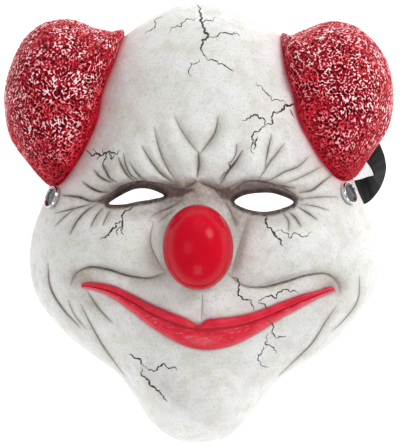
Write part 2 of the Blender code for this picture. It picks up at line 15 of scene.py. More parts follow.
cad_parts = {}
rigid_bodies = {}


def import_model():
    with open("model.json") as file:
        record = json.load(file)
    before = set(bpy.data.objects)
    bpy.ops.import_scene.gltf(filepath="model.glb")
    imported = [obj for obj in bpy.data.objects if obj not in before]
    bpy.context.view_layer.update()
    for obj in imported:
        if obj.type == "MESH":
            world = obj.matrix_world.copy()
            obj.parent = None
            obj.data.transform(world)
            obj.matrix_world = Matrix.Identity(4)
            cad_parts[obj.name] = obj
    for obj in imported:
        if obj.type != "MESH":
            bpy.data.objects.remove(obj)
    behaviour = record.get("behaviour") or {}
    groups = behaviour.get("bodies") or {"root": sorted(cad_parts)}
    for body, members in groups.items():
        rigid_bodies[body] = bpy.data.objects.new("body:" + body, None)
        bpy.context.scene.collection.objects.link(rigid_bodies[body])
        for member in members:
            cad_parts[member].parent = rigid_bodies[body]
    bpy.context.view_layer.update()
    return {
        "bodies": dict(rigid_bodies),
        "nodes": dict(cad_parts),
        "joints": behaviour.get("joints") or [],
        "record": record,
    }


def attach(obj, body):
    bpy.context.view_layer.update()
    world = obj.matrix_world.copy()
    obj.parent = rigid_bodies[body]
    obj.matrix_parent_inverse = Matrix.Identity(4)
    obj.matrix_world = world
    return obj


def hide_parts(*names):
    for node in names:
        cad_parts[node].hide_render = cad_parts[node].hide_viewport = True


# Face
FACE_WIDTH = 0.196
FACE_HEIGHT = 0.244
FACE_DEPTH = 0.062
HALF_WIDTH = FACE_WIDTH / 2
HALF_HEIGHT = FACE_HEIGHT / 2
WALL = 0.0025
GAP = 0.0003
TEMPLE_RISE = 0.014
DOME_POWER = 2.8
DOME_ROUNDING = 2.2
WRINKLE_DEPTH = 0.0031      # deepest wrinkle of the painted side
WRINKLE_REACH = 0.0025      # how far the rolls beside a wrinkle take to round off
WRINKLE_FLOOR = 0.0007      # rounding at the bottom of a wrinkle
ROLL_HEIGHT = 0.0012        # how far the rolls between the wrinkles stand up
ROLL_WIDTH = 0.0048
LID_DEPTH = 0.0016          # how far the lids lie behind the brows
LID_BLEND = 0.0012
LID_EDGE = 0.0013           # rounding of the eye holes' edge
LID_SWELL = 0.0005
LID_SWELL_AT = 0.0026

SKIN_LUMPS = ((0.00045, 0.0130, 11), (0.00014, 0.0045, 12))    # height, size and seed

# Paint: strengths, and widths in metres
STAIN = 0.70                # dark stain at the bottom of the wrinkles
STAIN_WIDTH = 0.0009
HALO = 0.43                 # soft shade beside them
HALO_REACH = 0.0022
EYE_RIM = 0.0015            # dark rim round the eye holes, partly paint and partly painted shade
EYE_RIM_BLUR = 0.0010
EYE_SHADE = 0.75
EYE_SHADE_WIDTH = 0.0040
LID_BLUR_OUT = 0.0010
LID_BLUR_IN = 0.0008
# painted shadow: a dark line on the skin round the lips
LIP_SHADOW_LINE = 0.50
LIP_SHADOW_LINE_WIDTH = 0.0007
LIP_SPRAY = 0.30            # red that strayed from the lips
LIP_SPRAY_REACH = 0.0012
PUFF_SPRAY = 0.75           # red that strayed from the puffs
PUFF_SPRAY_REACH = 0.0014
PUFF_MIST = 0.008
# reach of the painted shade on the skin beside the puffs
PUFF_SHADE = 0.010
# reach of the painted highlight along the puffs' edge on the face
PUFF_EDGE_HIGHLIGHT = 0.0016

# Nose
NOSE_WIDTH = 0.0376
NOSE_HEIGHT = 0.0455
NOSE_REACH = 0.0205
NOSE_STANDOFF = 0.0070
NOSE_WALL = 0.0020
NOSE_HOLE = 0.74
NOSE_FOOT = 0.80            # where the ball ends against the skin, as a share of its radius
NOSE_UP = -0.11
NOSE_CONTACT = 0.0008       # reach of the painted contact shadow where the nose meets the skin
NOSE_SHADE = 0.009

# Lips
LIP_RISE = 0.0036
LIP_CORNER = 0.40
LIP_SEAM = 0.45
LIP_SEAM_WIDTH = 0.13
LIP_UNDER = 0.0001          # clearance under the lips
LIP_PALE_BAND_AT = -0.40         # middle of the pale band, partly wear and partly painted highlight, from -1 at the lower edge to 1
LIP_PALE_BAND_WIDTH = 0.30
LIP_EDGE = 0.90             # where the darker edge of the lips starts

# Hair puffs
PUFF_WIDTH = 0.060
PUFF_HEIGHT = 0.090
PUFF_TOP = 0.053
PUFF_WALL = 0.0025
PUFF_ACROSS = 0.79
PUFF_UP = 0.56
PUFF_POWER = 2.3
PUFF_ROUNDING = 2.0
PUFF_SINK = 0.0015
PUFF_SKEW = 0.08            # the left puff reaches further over the forehead than the right one
PUFF_LIFT = 0.05            # and further up
CURL_HEIGHT = 0.0014
CURL_CELL = 0.0020
CURL_SECOND = 1.25          # size of the second set of curls, as a share of the first
CURL_LUMP = 0.6             # size of the lumps on them
CURL_LEVEL = 0.6            # what height of the curls lies on the plain form
CURL_SHARE_CALM = 0.75      # how much of the curls is lost beside the face
BRUSH_LEAST = 0.18          # how brushed the plainest patches are
CURL_LINE = 0.22            # width of a curl, as a share of the noise's height
CURL_CALM = 0.009           # how far from the face the curls stay low
CURL_PLAIN = 0.013          # how far from the face they stay unbrushed
CURL_START = 0.002          # how far from the puff's edge they take to rise
PUFF_LUMP = 0.0012
PUFF_LUMP_SIZE = 0.016
BRUSH_SIZE = 0.011          # size of the patches that are brushed pale, partly painted highlight

# Rivets
RIVET_DIAMETER = 0.0125
RIVET_CAP = 0.0024
RIVET_HEAD = 0.0090
RIVET_HEAD_THICKNESS = 0.0012
RIVET_SHANK = 0.0040
RIVET_PLACES = ((-0.805, 0.118), (0.82, 0.112))

# Strap
STRAP_WIDTH = 0.0145
STRAP_THICKNESS = 0.0012
STRAP_TAIL = 0.0070
STRAP_EASE = 0.0008
STRAP_RIBS = 9
RIB_STEPS = 8
RIB_DEPTH = 0.18            # share of the half thickness
STITCH_RATE = 1400.0        # radians of the weave's waves to a metre

# Resolution
SKIN_SECTORS = 520
SKIN_RINGS = 152
INSIDE_RINGS = 38
PUFF_SECTORS = 480
PUFF_RINGS = 140
PUFF_INSIDE_RINGS = 14
NOSE_SECTORS = 128
NOSE_RINGS = 64
LIP_STATIONS = 260
LIP_OFFSETS = 33
EYE_SIDES = 96
RIVET_SIDES = 48
STRAP_STATIONS = 220
ROUTE_STEPS = 6             # straight steps to each point of a route
SEAT_SAMPLES = 32
FIRST_RING_STEP = 0.80
LAST_RING_STEP = 0.12
SHARP_EDGE = 50

# Rim of the face, seen from the front: degrees from the forehead, distance from the nose
# on the left and on the right, rise of the rim as a share of the temple rise
RIM = (
    (0, 1.11, 1.11, 0.0),
    (15, 1.07, 1.08, 0.0),
    (30, 1.02, 1.05, 0.2),
    (45, 0.945, 0.99, 0.8),
    (60, 0.90, 0.93, 1.0),
    (75, 0.91, 0.93, 1.0),
    (88, 0.965, 0.99, 0.6),
    (100, 0.97, 1.00, 0.1),
    (115, 0.875, 0.90, 0.0),
    (130, 0.78, 0.80, 0.0),
    (140, 0.75, 0.75, 0.0),
    (150, 0.78, 0.75, 0.0),
    (160, 0.85, 0.80, 0.0),
    (170, 0.89, 0.87, 0.0),
    (180, 0.89, 0.89, 0.0),
)

# Rounded forms of the face: across, up, half size across, half size up, height as a share
# of the face depth
FORMS = (
    (-0.31, 0.25, 0.24, 0.13, 0.075),     # left brow
    (0.33, 0.24, 0.24, 0.13, 0.075),      # right brow
    (0.01, 0.30, 0.12, 0.16, 0.030),      # between the brows
    (-0.36, 0.105, 0.21, 0.060, -0.140),  # left eye hollow
    (0.37, 0.075, 0.21, 0.060, -0.140),   # right eye hollow
    (0.00, 0.10, 0.10, 0.12, 0.050),      # bridge of the nose
    (-0.50, -0.10, 0.24, 0.15, 0.120),    # left cheek
    (0.52, -0.13, 0.24, 0.15, 0.120),     # right cheek
    (0.02, -0.36, 0.34, 0.12, 0.040),     # upper lip
    (0.02, -0.64, 0.34, 0.06, -0.080),    # hollow under the lip
    (-0.02, -0.83, 0.24, 0.14, 0.190),    # chin
    (-0.80, -0.20, 0.16, 0.20, 0.050),    # left jowl
    (0.84, -0.24, 0.16, 0.20, 0.050),     # right jowl
    (-0.52, -0.56, 0.16, 0.10, -0.050),   # left jaw hollow
    (0.52, -0.58, 0.16, 0.10, -0.050),    # right jaw hollow
)

# Wrinkles of the painted side: depth share, width share and darkness of the painted line, and
# the route in hundredths across and up
WRINKLES = (
    (0.9, 0.7, 0.9, ((-76, 13), (-66, 12), (-57, 10), (-53, 11))),
    (0.7, 0.6, 0.9, ((-64, 19), (-59, 16), (-53, 14), (-48, 14))),
    (0.7, 0.6, 0.9, ((-57, 24), (-54, 21), (-50, 19), (-46, 18))),
    (0.7, 0.6, 0.8, ((-52, 27), (-50, 23), (-48, 20), (-44, 18))),
    (0.8, 0.7, 0.8, ((-43, 29), (-41, 25), (-38, 21), (-34, 18))),
    (0.6, 0.5, 0.7, ((-40, 31), (-39, 26), (-36, 21), (-31, 18))),
    (0.7, 0.5, 0.6, ((-37, 27), (-33, 22), (-29, 19), (-26, 18))),
    (0.9, 0.6, 0.7, ((-30, 34), (-25, 27), (-19, 21), (-12, 17), (-8, 15))),
    (1.0, 0.5, 0.4, ((-23, 42), (-21, 34), (-18, 27), (-14, 21), (-10, 17))),
    (1.0, 0.7, 0.8, ((1, 31), (1, 25), (0, 19))),
    (0.8, 0.4, 0.3, ((-12, 47), (-8, 40), (-3, 34), (1, 30))),
    (0.9, 0.6, 0.5, ((12, 46), (10, 39), (5, 33), (1, 29))),
    (0.8, 0.6, 0.9, ((0, 18), (5, 16), (10, 14), (13, 12))),
    (0.7, 0.6, 0.8, ((0, 18), (-4, 16), (-8, 15))),
    (0.9, 0.7, 0.9, ((25, 31), (21, 26), (17, 22), (12, 16))),
    (0.5, 0.4, 0.5, ((22, 34), (21, 29), (18, 25))),
    (0.7, 0.5, 0.6, ((41, 38), (39, 32), (38, 28), (37, 23))),
    (0.8, 0.5, 0.5, ((48, 34), (43, 29), (39, 25), (36, 21), (33, 18))),
    (0.8, 0.5, 0.6, ((61, 28), (56, 24), (47, 21), (40, 18), (35, 17))),
    (0.6, 0.4, 0.4, ((69, 24), (62, 21), (54, 18), (46, 16))),
    (0.9, 0.6, 0.7, ((74, 20), (69, 17), (62, 13), (54, 12))),
    (0.5, 0.5, 0.6, ((54, 14), (47, 15), (41, 16))),
    (1.0, 0.8, 1.0, ((-57, 10), (-48, 13), (-42, 16), (-33, 18), (-21, 17), (-9, 15))),
    (1.0, 0.8, 0.9, ((18, 14), (25, 17), (36, 17), (44, 15), (54, 11))),
    (0.5, 0.4, 0.4, ((77, 10), (66, 10), (55, 9))),
    (0.6, 0.5, 0.7, ((54, 6), (60, 3), (65, 0))),
    (0.4, 0.4, 0.4, ((56, 7), (64, 6), (72, 4))),
    (0.6, 0.5, 0.8, ((49, 4), (53, 1), (56, -3))),
    (0.5, 0.5, 0.4, ((45, 4), (49, 0), (49, -5))),
    (0.7, 0.5, 0.8, ((-55, 9), (-61, 6), (-66, 2), (-71, -5))),
    (0.6, 0.5, 0.6, ((-57, 9), (-68, 7), (-80, 5))),
    (0.5, 0.4, 0.4, ((-66, 8), (-73, 4), (-80, -1))),
    (0.7, 0.6, 0.6, ((-52, 7), (-56, 3), (-59, -2))),
    (0.6, 0.5, 0.5, ((-48, 6), (-50, 3), (-52, -1))),
    (0.6, 0.6, 0.6, ((-8, 10), (-14, 7), (-20, 5), (-25, 3))),
    (0.5, 0.4, 0.4, ((-12, 6), (-17, 3), (-22, 0))),
    (0.5, 0.4, 0.4, ((14, 10), (18, 4), (21, -3))),
    (0.6, 0.4, 0.2, ((28, 4), (25, -4), (21, -14), (18, -23))),
    (0.4, 0.4, 0.2, ((-24, 1), (-26, -8), (-22, -17), (-18, -22))),
    (1.0, 0.7, 0.7, ((-18, -22), (-26, -24), (-38, -23), (-50, -20), (-60, -19), (-68, -22), (-71, -27))),
    (1.0, 0.7, 0.7, ((16, -23), (24, -28), (34, -29), (46, -27), (60, -24), (70, -24), (76, -28), (77, -33))),
    (0.7, 0.5, 0.4, ((-66, -35), (-61, -44), (-55, -54), (-43, -69))),
    (0.5, 0.4, 0.5, ((-62, -29), (-55, -38), (-48, -44))),
    (0.7, 0.5, 0.4, ((75, -38), (69, -45), (61, -55), (51, -63), (42, -70))),
    (0.9, 0.6, 0.6, ((-84, -17), (-83, -28), (-77, -37), (-67, -46))),
    (0.7, 0.5, 0.3, ((88, -25), (87, -36), (79, -45), (72, -50))),
    (0.5, 0.4, 0.2, ((-73, -33), (-70, -40), (-63, -47))),
    (0.5, 0.4, 0.1, ((2, -31), (1, -43))),
)

# Rolls of skin between the wrinkles: height share, route in hundredths across and up
ROLLS = (
    (1.0, ((-6, 22), (-10, 32), (-15, 42), (-18, 52))),
    (1.0, ((7, 22), (13, 32), (17, 42), (19, 50))),
    (0.8, ((-18, 26), (-22, 34), (-28, 45))),
    (0.8, ((-26, 22), (-31, 29), (-36, 39))),
    (0.7, ((-37, 20), (-43, 27), (-47, 36))),
    (0.7, ((-49, 17), (-55, 22), (-60, 28))),
    (0.7, ((-60, 14), (-67, 17), (-73, 21))),
    (0.8, ((26, 21), (29, 28), (32, 36))),
    (0.7, ((40, 20), (46, 27), (53, 34))),
    (0.7, ((54, 16), (62, 18), (70, 22))),
    (0.7, ((-4, 11), (-13, 8), (-22, 6))),
    (0.7, ((-60, 4), (-66, -1), (-70, -7))),
    (0.8, ((-22, -27), (-38, -27), (-52, -24), (-64, -24))),
    (0.8, ((20, -28), (34, -33), (48, -31), (62, -28))),
    (0.8, ((-24, -18), (-40, -18), (-56, -14))),
    (0.8, ((26, -22), (44, -23), (60, -19))),
)

# Lids between the brows and the eye holes: how brown, and the outline in hundredths
LIDS = (
    (1.00, ((-57, 10), (-48, 13), (-43, 16), (-33, 18), (-21, 17), (-9, 15), (-2, 14),
            (-9, 11), (-18, 11), (-26, 14), (-34, 14), (-42, 12), (-49, 8))),
    (0.85, ((10, 13), (20, 15), (24, 17), (36, 17), (42, 15), (48, 13), (53, 11), (57, 9),
            (52, 8), (42, 11), (33, 12), (25, 11), (20, 8), (13, 10))),
)

# Eye holes: across and up
EYE_LEFT = (
    (-0.490, 0.088), (-0.420, 0.125), (-0.340, 0.150), (-0.260, 0.147),
    (-0.185, 0.118), (-0.250, 0.104), (-0.330, 0.095), (-0.410, 0.084),
)
EYE_RIGHT = (
    (0.200, 0.085), (0.250, 0.112), (0.330, 0.122), (0.420, 0.118),
    (0.520, 0.082), (0.460, 0.054), (0.360, 0.040), (0.260, 0.055),
)

# Lips from the left corner to the right: across, up of the mouth line, lip above, lip below
LIPS = (
    (-0.645, -0.272, 0.007, 0.009),
    (-0.620, -0.271, 0.012, 0.012),
    (-0.570, -0.278, 0.018, 0.014),
    (-0.480, -0.297, 0.026, 0.026),
    (-0.380, -0.337, 0.030, 0.046),
    (-0.280, -0.388, 0.038, 0.060),
    (-0.180, -0.428, 0.043, 0.073),
    (-0.070, -0.458, 0.036, 0.087),
    (0.000, -0.467, 0.019, 0.091),
    (0.035, -0.468, 0.041, 0.092),
    (0.080, -0.468, 0.045, 0.090),
    (0.200, -0.458, 0.043, 0.078),
    (0.320, -0.432, 0.038, 0.056),
    (0.430, -0.398, 0.036, 0.036),
    (0.550, -0.358, 0.028, 0.026),
    (0.660, -0.325, 0.016, 0.014),
    (0.715, -0.310, 0.012, 0.011),
    (0.738, -0.306, 0.006, 0.007),
)

# Right hair puff, seen from the front: across and up in shares of half the puff, whether
# the edge sits on the face, and its rise above the rim plane as a share of the temple rise
PUFF_EDGE = (
    (0.00, 0.96, 0.0, 0.0),
    (0.42, 0.86, 0.0, 0.0),
    (0.76, 0.60, 0.0, 0.0),
    (0.95, 0.26, 0.0, 0.0),
    (0.98, -0.08, 0.0, 0.2),
    (0.86, -0.44, 0.0, 0.6),
    (0.50, -0.80, 0.0, 0.9),
    (0.20, -1.03, 0.3, 1.0),
    (-0.06, -1.03, 0.8, 1.0),
    (-0.33, -0.83, 1.0, 1.0),
    (-0.54, -0.62, 1.0, 1.0),
    (-0.77, -0.30, 1.0, 1.0),
    (-0.85, 0.00, 1.0, 0.8),
    (-0.92, 0.16, 1.0, 0.6),
    (-1.03, 0.40, 1.0, 0.3),
    (-1.13, 0.80, 0.5, 0.0),
    (-0.92, 0.80, 0.0, 0.0),
    (-0.62, 0.86, 0.0, 0.0),
    (-0.30, 0.94, 0.0, 0.0),
)

# Strap between its two climbs to the rivets: across, up, height in strap thicknesses, the
# way its inner edge points in degrees, and how far the band is turned on edge
STRAP_ROUTE = (
    (0.955, 0.141, 3.6, 107, 35),
    (0.992, 0.168, 5.6, 130, 58),
    (1.013, 0.206, 6.2, 200, 60),
    (1.005, 0.249, 5.4, 212, 50),
    (0.983, 0.291, 4.2, 227, 36),
    (0.940, 0.345, 2.4, 238, 15),
    (0.860, 0.420, 0.8, 243, 0),
    (0.640, 0.470, 0.5, 262, 0),
    (0.300, 0.480, 0.5, 270, 0),
    (-0.050, 0.470, 0.5, 272, 0),
    (-0.380, 0.430, 0.5, 285, 0),
    (-0.600, 0.340, 0.5, 304, 0),
    (-0.735, 0.220, 1.5, 322, 0),
)

# Brown and purple paint sprayed on the skin, partly painted shade: across, up, half sizes, strength
SPRAY_AND_SHADE_SPOTS = (
    (0.00, 0.145, 0.20, 0.040, 0.85),
    (-0.02, 0.105, 0.14, 0.045, 0.45),
    (-0.13, 0.125, 0.09, 0.035, 0.85),
    (0.18, 0.110, 0.09, 0.050, 0.75),
    (-0.34, 0.160, 0.20, 0.022, 0.60),
    (0.36, 0.145, 0.20, 0.024, 0.50),
    (-0.17, 0.110, 0.045, 0.030, 0.80),
    (-0.53, 0.095, 0.08, 0.035, 0.50),
    (0.57, 0.085, 0.08, 0.040, 0.50),
    (-0.34, 0.050, 0.19, 0.035, 0.35),
    (0.34, 0.010, 0.17, 0.035, 0.45),
    (0.20, 0.020, 0.09, 0.060, 0.40),
    (-0.20, 0.040, 0.09, 0.060, 0.40),
    (-0.19, -0.215, 0.07, 0.045, 0.50),
    (-0.65, -0.240, 0.07, 0.040, 0.40),
    (0.74, -0.300, 0.06, 0.050, 0.40),
    (-0.60, -0.330, 0.10, 0.060, 0.20),
    (0.19, -0.210, 0.06, 0.060, 0.32),
    (0.23, -0.060, 0.04, 0.120, 0.35),
    (-0.55, 0.550, 0.26, 0.350, 0.22),
    (-0.62, -0.235, 0.08, 0.035, 0.40),
    (0.72, -0.280, 0.08, 0.035, 0.40),
)

# Cracks in the paint: width in millimetres, and the route in hundredths across and up
CRACKS = (
    (1.1, ((0, 98), (3, 93), (2, 90), (5, 86), (7, 82), (3, 77), (6, 72))),
    (0.7, ((6, 72), (10, 71), (21, 66))),
    (0.7, ((7, 82), (12, 82), (16, 84), (21, 84), (24, 82))),
    (0.5, ((2, 90), (6, 90), (12, 91))),
    (0.5, ((0, 91), (-7, 89), (-8, 87), (-15, 84))),
    (0.5, ((-19, 93), (-23, 90), (-24, 87), (-28, 84))),
    (0.5, ((2, 72), (-4, 66), (-2, 64))),
    (1.3, ((57, 50), (52, 51), (49, 51), (46, 48), (44, 48))),
    (0.8, ((46, 48), (41, 45), (41, 42), (38, 42))),
    (0.9, ((38, 42), (35, 45), (31, 46), (29, 45), (25, 44))),
    (0.7, ((38, 42), (34, 39), (30, 37), (30, 33), (31, 29))),
    (0.9, ((33, 37), (32, 33), (31, 31))),
    (0.5, ((49, 51), (45, 53), (41, 53), (39, 56), (36, 59), (33, 61))),
    (0.6, ((51, 49), (52, 47), (54, 45))),
    (0.6, ((12, 18), (18, 24), (20, 27))),
    (0.9, ((-62, 33), (-58, 30), (-55, 31), (-52, 30), (-47, 31), (-42, 32))),
    (0.7, ((-58, 33), (-55, 28))),
    (0.7, ((-52, 33), (-51, 28), (-50, 24))),
    (0.6, ((-49, 32), (-47, 28), (-45, 30))),
    (0.8, ((-37, 9), (-41, 4), (-41, 0), (-40, -5))),
    (0.9, ((-41, 1), (-47, -3), (-53, -7))),
    (0.5, ((-41, 0), (-44, -3), (-43, -5))),
    (1.2, ((34, 4), (37, -1), (40, -4), (44, -8), (46, -11))),
    (0.5, ((41, -5), (50, -8), (58, -7), (62, -5))),
    (0.8, ((18, -24), (22, -28), (23, -33), (29, -39))),
    (0.7, ((32, -36), (34, -34), (37, -33), (42, -34), (46, -30), (54, -32))),
    (0.6, ((32, -36), (36, -37), (37, -39))),
    (0.7, ((38, -42), (39, -45), (39, -49), (41, -52))),
    (0.6, ((41, -52), (43, -51), (47, -51))),
    (0.6, ((37, -50), (35, -54), (39, -56), (41, -59))),
    (0.6, ((34, -55), (31, -59), (32, -62), (37, -65))),
    (0.9, ((-40, -58), (-35, -60), (-32, -63))),
    (0.8, ((-32, -63), (-27, -65), (-24, -64), (-20, -62), (-17, -64), (-13, -65))),
    (1.0, ((-33, -64), (-32, -68), (-28, -72), (-25, -74), (-21, -77), (-19, -79))),
)
CRACK_WANDER = 0.35         # sideways wander, as a share of each stretch's length
CRACK_SPLITS = 3            # how often each stretch is halved for it
CRACK_UNEVEN = (0.5, 1.4)   # least and greatest share of the width
CRACK_HALF = 0.0005         # half width in metres of a crack of 1 mm
WRINKLE_HALF = 0.00080      # half width in metres of a wrinkle's line of width share 1
LINE_STEP = 0.0007
LINE_PROUD = 0.00006
LINE_DEEP = 0.00015

# Camera and light
CAMERA_DISTANCE = 1.5
CAMERA_YAW = math.radians(1.5)
CAMERA_ROLL = 0.0182
CAMERA_TARGET = Vector((0.0, -0.0011, 0.0))
VIEW_WIDTH = 0.2231         # what the picture's width covers at the rim plane
SENSOR = 36.0
FLOOR_SIZE = 6.0
FLOOR_DROP = 0.0002
FLOOR_COLOUR = (0.92, 0.92, 0.92)
FLOOR_GLOW = 0.75           # the floor is a light table, so the eye holes show white
WORLD_STRENGTH = 0.43
LIGHTS = (                  # direction, distance, size, power
    ("key", (0.66, 0.50, 0.62), 1.2, 0.40, 5.9),
    ("fill", (-0.52, 0.00, 0.85), 1.3, 0.60, 1.7),
    ("top", (0.10, 0.90, 0.60), 1.4, 0.90, 1.9),
    ("low", (0.00, -0.85, 0.55), 1.4, 0.60, 4.2),
)


# Curves and noise

def smooth_between(stations, values, at):
    """Values of a smooth curve through unevenly spaced stations."""
    stations = np.asarray(stations, float)
    values = np.asarray(values, float)
    slopes = np.gradient(values, stations)
    index = np.clip(np.searchsorted(stations, at, side="right") - 1, 0, len(stations) - 2)
    step = stations[index + 1] - stations[index]
    share = np.clip((at - stations[index]) / step, 0.0, 1.0)
    rise = (3.0 - 2.0 * share) * share ** 2
    lean_in = share * (1.0 - share) ** 2 * step * slopes[index]
    lean_out = share ** 2 * (1.0 - share) * step * slopes[index + 1]
    return values[index] * (1.0 - rise) + values[index + 1] * rise + lean_in - lean_out


def closed_curve(rows, count):
    """Evenly numbered points of a smooth closed curve through the rows of a table."""
    rows = np.asarray(rows, float)
    points = []
    for k in range(count):
        at = k * len(rows) / count
        i = int(at)
        s = at - i
        a, b, c, d = (rows[(i + n) % len(rows)] for n in (-1, 0, 1, 2))
        points.append(0.5 * (2 * b + (c - a) * s + (2 * a - 5 * b + 4 * c - d) * s ** 2
                             + (3 * b - a - 3 * c + d) * s ** 3))
    return np.array(points)


def open_curve(rows, count, places=2):
    """Points of a smooth open curve through rows whose first columns are places."""
    rows = np.asarray(rows, float)
    lengths = np.linalg.norm(np.diff(rows[:, :places], axis=0), axis=1)
    stations = np.concatenate([[0.0], np.cumsum(lengths)])
    at = np.linspace(0.0, stations[-1], count)
    return np.stack([smooth_between(stations, rows[:, n], at) for n in range(rows.shape[1])], 1)


def smooth_step(low, high, value):
    """0 below low, 1 above high and a smooth change between them."""
    share = np.clip((value - low) / (high - low), 0.0, 1.0)
    return share ** 2 * (3.0 - 2.0 * share)


def bell(distance, width):
    """1 at no distance, falling smoothly to 0 over a few widths."""
    return np.exp(-(distance / width) ** 2)


def blot(across, up, row):
    """A round soft spot from a row that starts with its middle and its half sizes."""
    x, y, half_x, half_y = row[:4]
    return np.exp(-((across - x) / half_x) ** 2 - ((up - y) / half_y) ** 2)


def unit(vectors):
    """Vectors brought to a length of 1."""
    return vectors / np.maximum(np.linalg.norm(vectors, axis=-1, keepdims=True), 1e-12)


def gradient_noise(points, cell, seed):
    """Smooth noise from about -0.7 to 0.7, with bumps about one cell across."""
    slopes = np.random.default_rng(seed).normal(size=(4096, 3))
    slopes = unit(slopes)
    at = points / cell
    base = np.floor(at).astype(np.int64)
    share = at - base
    blend = share ** 3 * (share * (share * 6.0 - 15.0) + 10.0)
    total = np.zeros(points.shape[:-1])
    for corner in np.ndindex(2, 2, 2):
        key = base + corner
        mixed = key[..., 0] * 73856093 ^ key[..., 1] * 19349663 ^ key[..., 2] * 83492791
        weight = np.prod(np.where(corner, blend, 1.0 - blend), axis=-1)
        total += weight * (slopes[mixed % len(slopes)] * (share - corner)).sum(axis=-1)
    return total


def outline_distance(x, y, outline):
    """Distance from a closed outline, negative inside it."""
    nearest = np.full(x.shape, 1.0)
    inside = np.zeros(x.shape, bool)
    for (ax, ay), (bx, by) in zip(outline, np.roll(outline, -1, axis=0)):
        dx, dy = bx - ax, by - ay
        share = np.clip(((x - ax) * dx + (y - ay) * dy) / max(dx * dx + dy * dy, 1e-18), 0.0, 1.0)
        nearest = np.minimum(nearest, np.hypot(x - ax - share * dx, y - ay - share * dy))
        if ay != by:
            inside ^= ((ay > y) != (by > y)) & (x < ax + (y - ay) * dx / dy)
    return np.where(inside, -nearest, nearest)


# Face

def rim_at(degrees):
    """Distance of the rim from the nose, and the rim's rise in metres, at angles from up."""
    right = [(row[0], row[2], row[3]) for row in RIM]
    left = [(360 - row[0], row[1], row[3]) for row in reversed(RIM[:-1])]
    rows = np.array([(a - 360, b, c) for a, b, c in left[-4:-1]] + right + left
                    + [(a + 360, b, c) for a, b, c in right[1:4]])
    reach = smooth_between(rows[:, 0], rows[:, 1], degrees)
    rise = np.clip(smooth_between(rows[:, 0], rows[:, 2], degrees), 0.0, 1.0)
    return reach, rise * TEMPLE_RISE


def dome_share(share):
    """Height of the face's dome, from 1 at the nose to 0 at the rim plane."""
    return np.maximum(1.0 - np.clip(share, 0.0, 1.0) ** DOME_POWER, 0.0) ** (1.0 / DOME_ROUNDING)


def rim_share(rise):
    """Where the dome comes down to a rim of this rise."""
    return (1.0 - (rise / FACE_DEPTH) ** DOME_ROUNDING) ** (1.0 / DOME_POWER)


def face_height(x, y):
    """Height of the face without its creases, and how much of its relief is left there."""
    across = x / HALF_WIDTH
    up = y / HALF_HEIGHT
    degrees = np.degrees(np.arctan2(across, up - NOSE_UP)) % 360.0
    reach, rise = rim_at(degrees)
    share = np.hypot(across, up - NOSE_UP) / reach
    keep = 1.0 - np.clip(share / rim_share(rise), 0.0, 1.0) ** 6
    relief = np.zeros_like(share)
    for row in FORMS:
        relief += row[-1] * blot(across, up, row)
    return FACE_DEPTH * (dome_share(share) + keep * relief), keep


def line_distance(x, y, route):
    """Distance from a smooth route in metres, and the fade towards its two ends."""
    points = open_curve(route, ROUTE_STEPS * len(route))
    steps = np.diff(points, axis=0)
    nearest = np.full(x.shape, 1.0)
    along = np.zeros(x.shape)
    for k, step in enumerate(steps):
        share = ((x - points[k, 0]) * step[0] + (y - points[k, 1]) * step[1]) / (step @ step)
        share = np.clip(share, 0.0, 1.0)
        distance = np.hypot(x - points[k, 0] - share * step[0], y - points[k, 1] - share * step[1])
        along = np.where(distance < nearest, (k + share) / len(steps), along)
        nearest = np.minimum(nearest, distance)
    return nearest, np.sqrt(np.clip(4.0 * along * (1.0 - along), 0.02, 1.0))


def in_metres(route, unit=1.0):
    """A route of shares of half the face, or of another unit of them, in metres."""
    return np.array(route, float) * unit * (HALF_WIDTH, HALF_HEIGHT)


def painted_relief(x, y, reach=WRINKLE_REACH):
    """How far the wrinkles and the sunk lids of the painted side move the skin."""
    groove = np.zeros(x.shape)
    for depth, _, _, route in WRINKLES:
        nearest, fade = line_distance(x, y, in_metres(route, 0.01))
        off = (np.hypot(nearest, WRINKLE_FLOOR) - WRINKLE_FLOOR) / reach
        groove = np.maximum(groove, depth * fade * np.exp(-off))
    rolls = np.zeros(x.shape)
    for height, route in ROLLS:
        nearest, fade = line_distance(x, y, in_metres(route, 0.01))
        rolls = np.maximum(rolls, height * fade * bell(nearest, ROLL_WIDTH))
    relief = ROLL_HEIGHT * rolls - WRINKLE_DEPTH * groove
    for _, route in LIDS:
        inside = -outline_distance(x, y, in_metres(route, 0.01))
        relief -= LID_DEPTH * smooth_step(-LID_BLEND, LID_BLEND, inside)
    return relief


def grid_normals(points):
    """Outward normals of a grid of rings whose sectors run all the way round."""
    around = np.roll(points, -1, axis=1) - np.roll(points, 1, axis=1)
    outward = np.gradient(points, axis=0)
    normals = np.cross(outward, around)
    normals *= np.sign(normals[:, :, 2:3].sum()) or 1.0
    return unit(normals)


def face_base(rings):
    """Places on the uncreased face, its normals, and how much relief is kept at each."""
    degrees = np.arange(SKIN_SECTORS) * 360.0 / SKIN_SECTORS
    angle = np.radians(degrees)
    reach, rise = rim_at(degrees)
    hole = NOSE_HOLE / np.hypot(np.sin(angle) * FACE_WIDTH / NOSE_WIDTH,
                                np.cos(angle) * FACE_HEIGHT / NOSE_HEIGHT)
    at = np.linspace(0.0, 1.0, rings)[:, None]
    spread = (at ** 2 * (3 - 2 * at) + FIRST_RING_STEP * at * (1 - at) ** 2
              - LAST_RING_STEP * at ** 2 * (1 - at))
    share = hole + (rim_share(rise) * reach - hole) * spread
    x = share * np.sin(angle) * HALF_WIDTH
    y = (share * np.cos(angle) + NOSE_UP) * HALF_HEIGHT
    z, keep = face_height(x, y)
    z[-1] = rise
    base = np.stack([x, y, z], 2)
    normals = grid_normals(base)
    normals[-1, :, 2] = 0.0
    normals[-1] = unit(normals[-1])
    return base, normals, keep


def eye_outline(table):
    """Outline of an eye hole in metres."""
    return closed_curve(table, EYE_SIDES) * (HALF_WIDTH, HALF_HEIGHT)


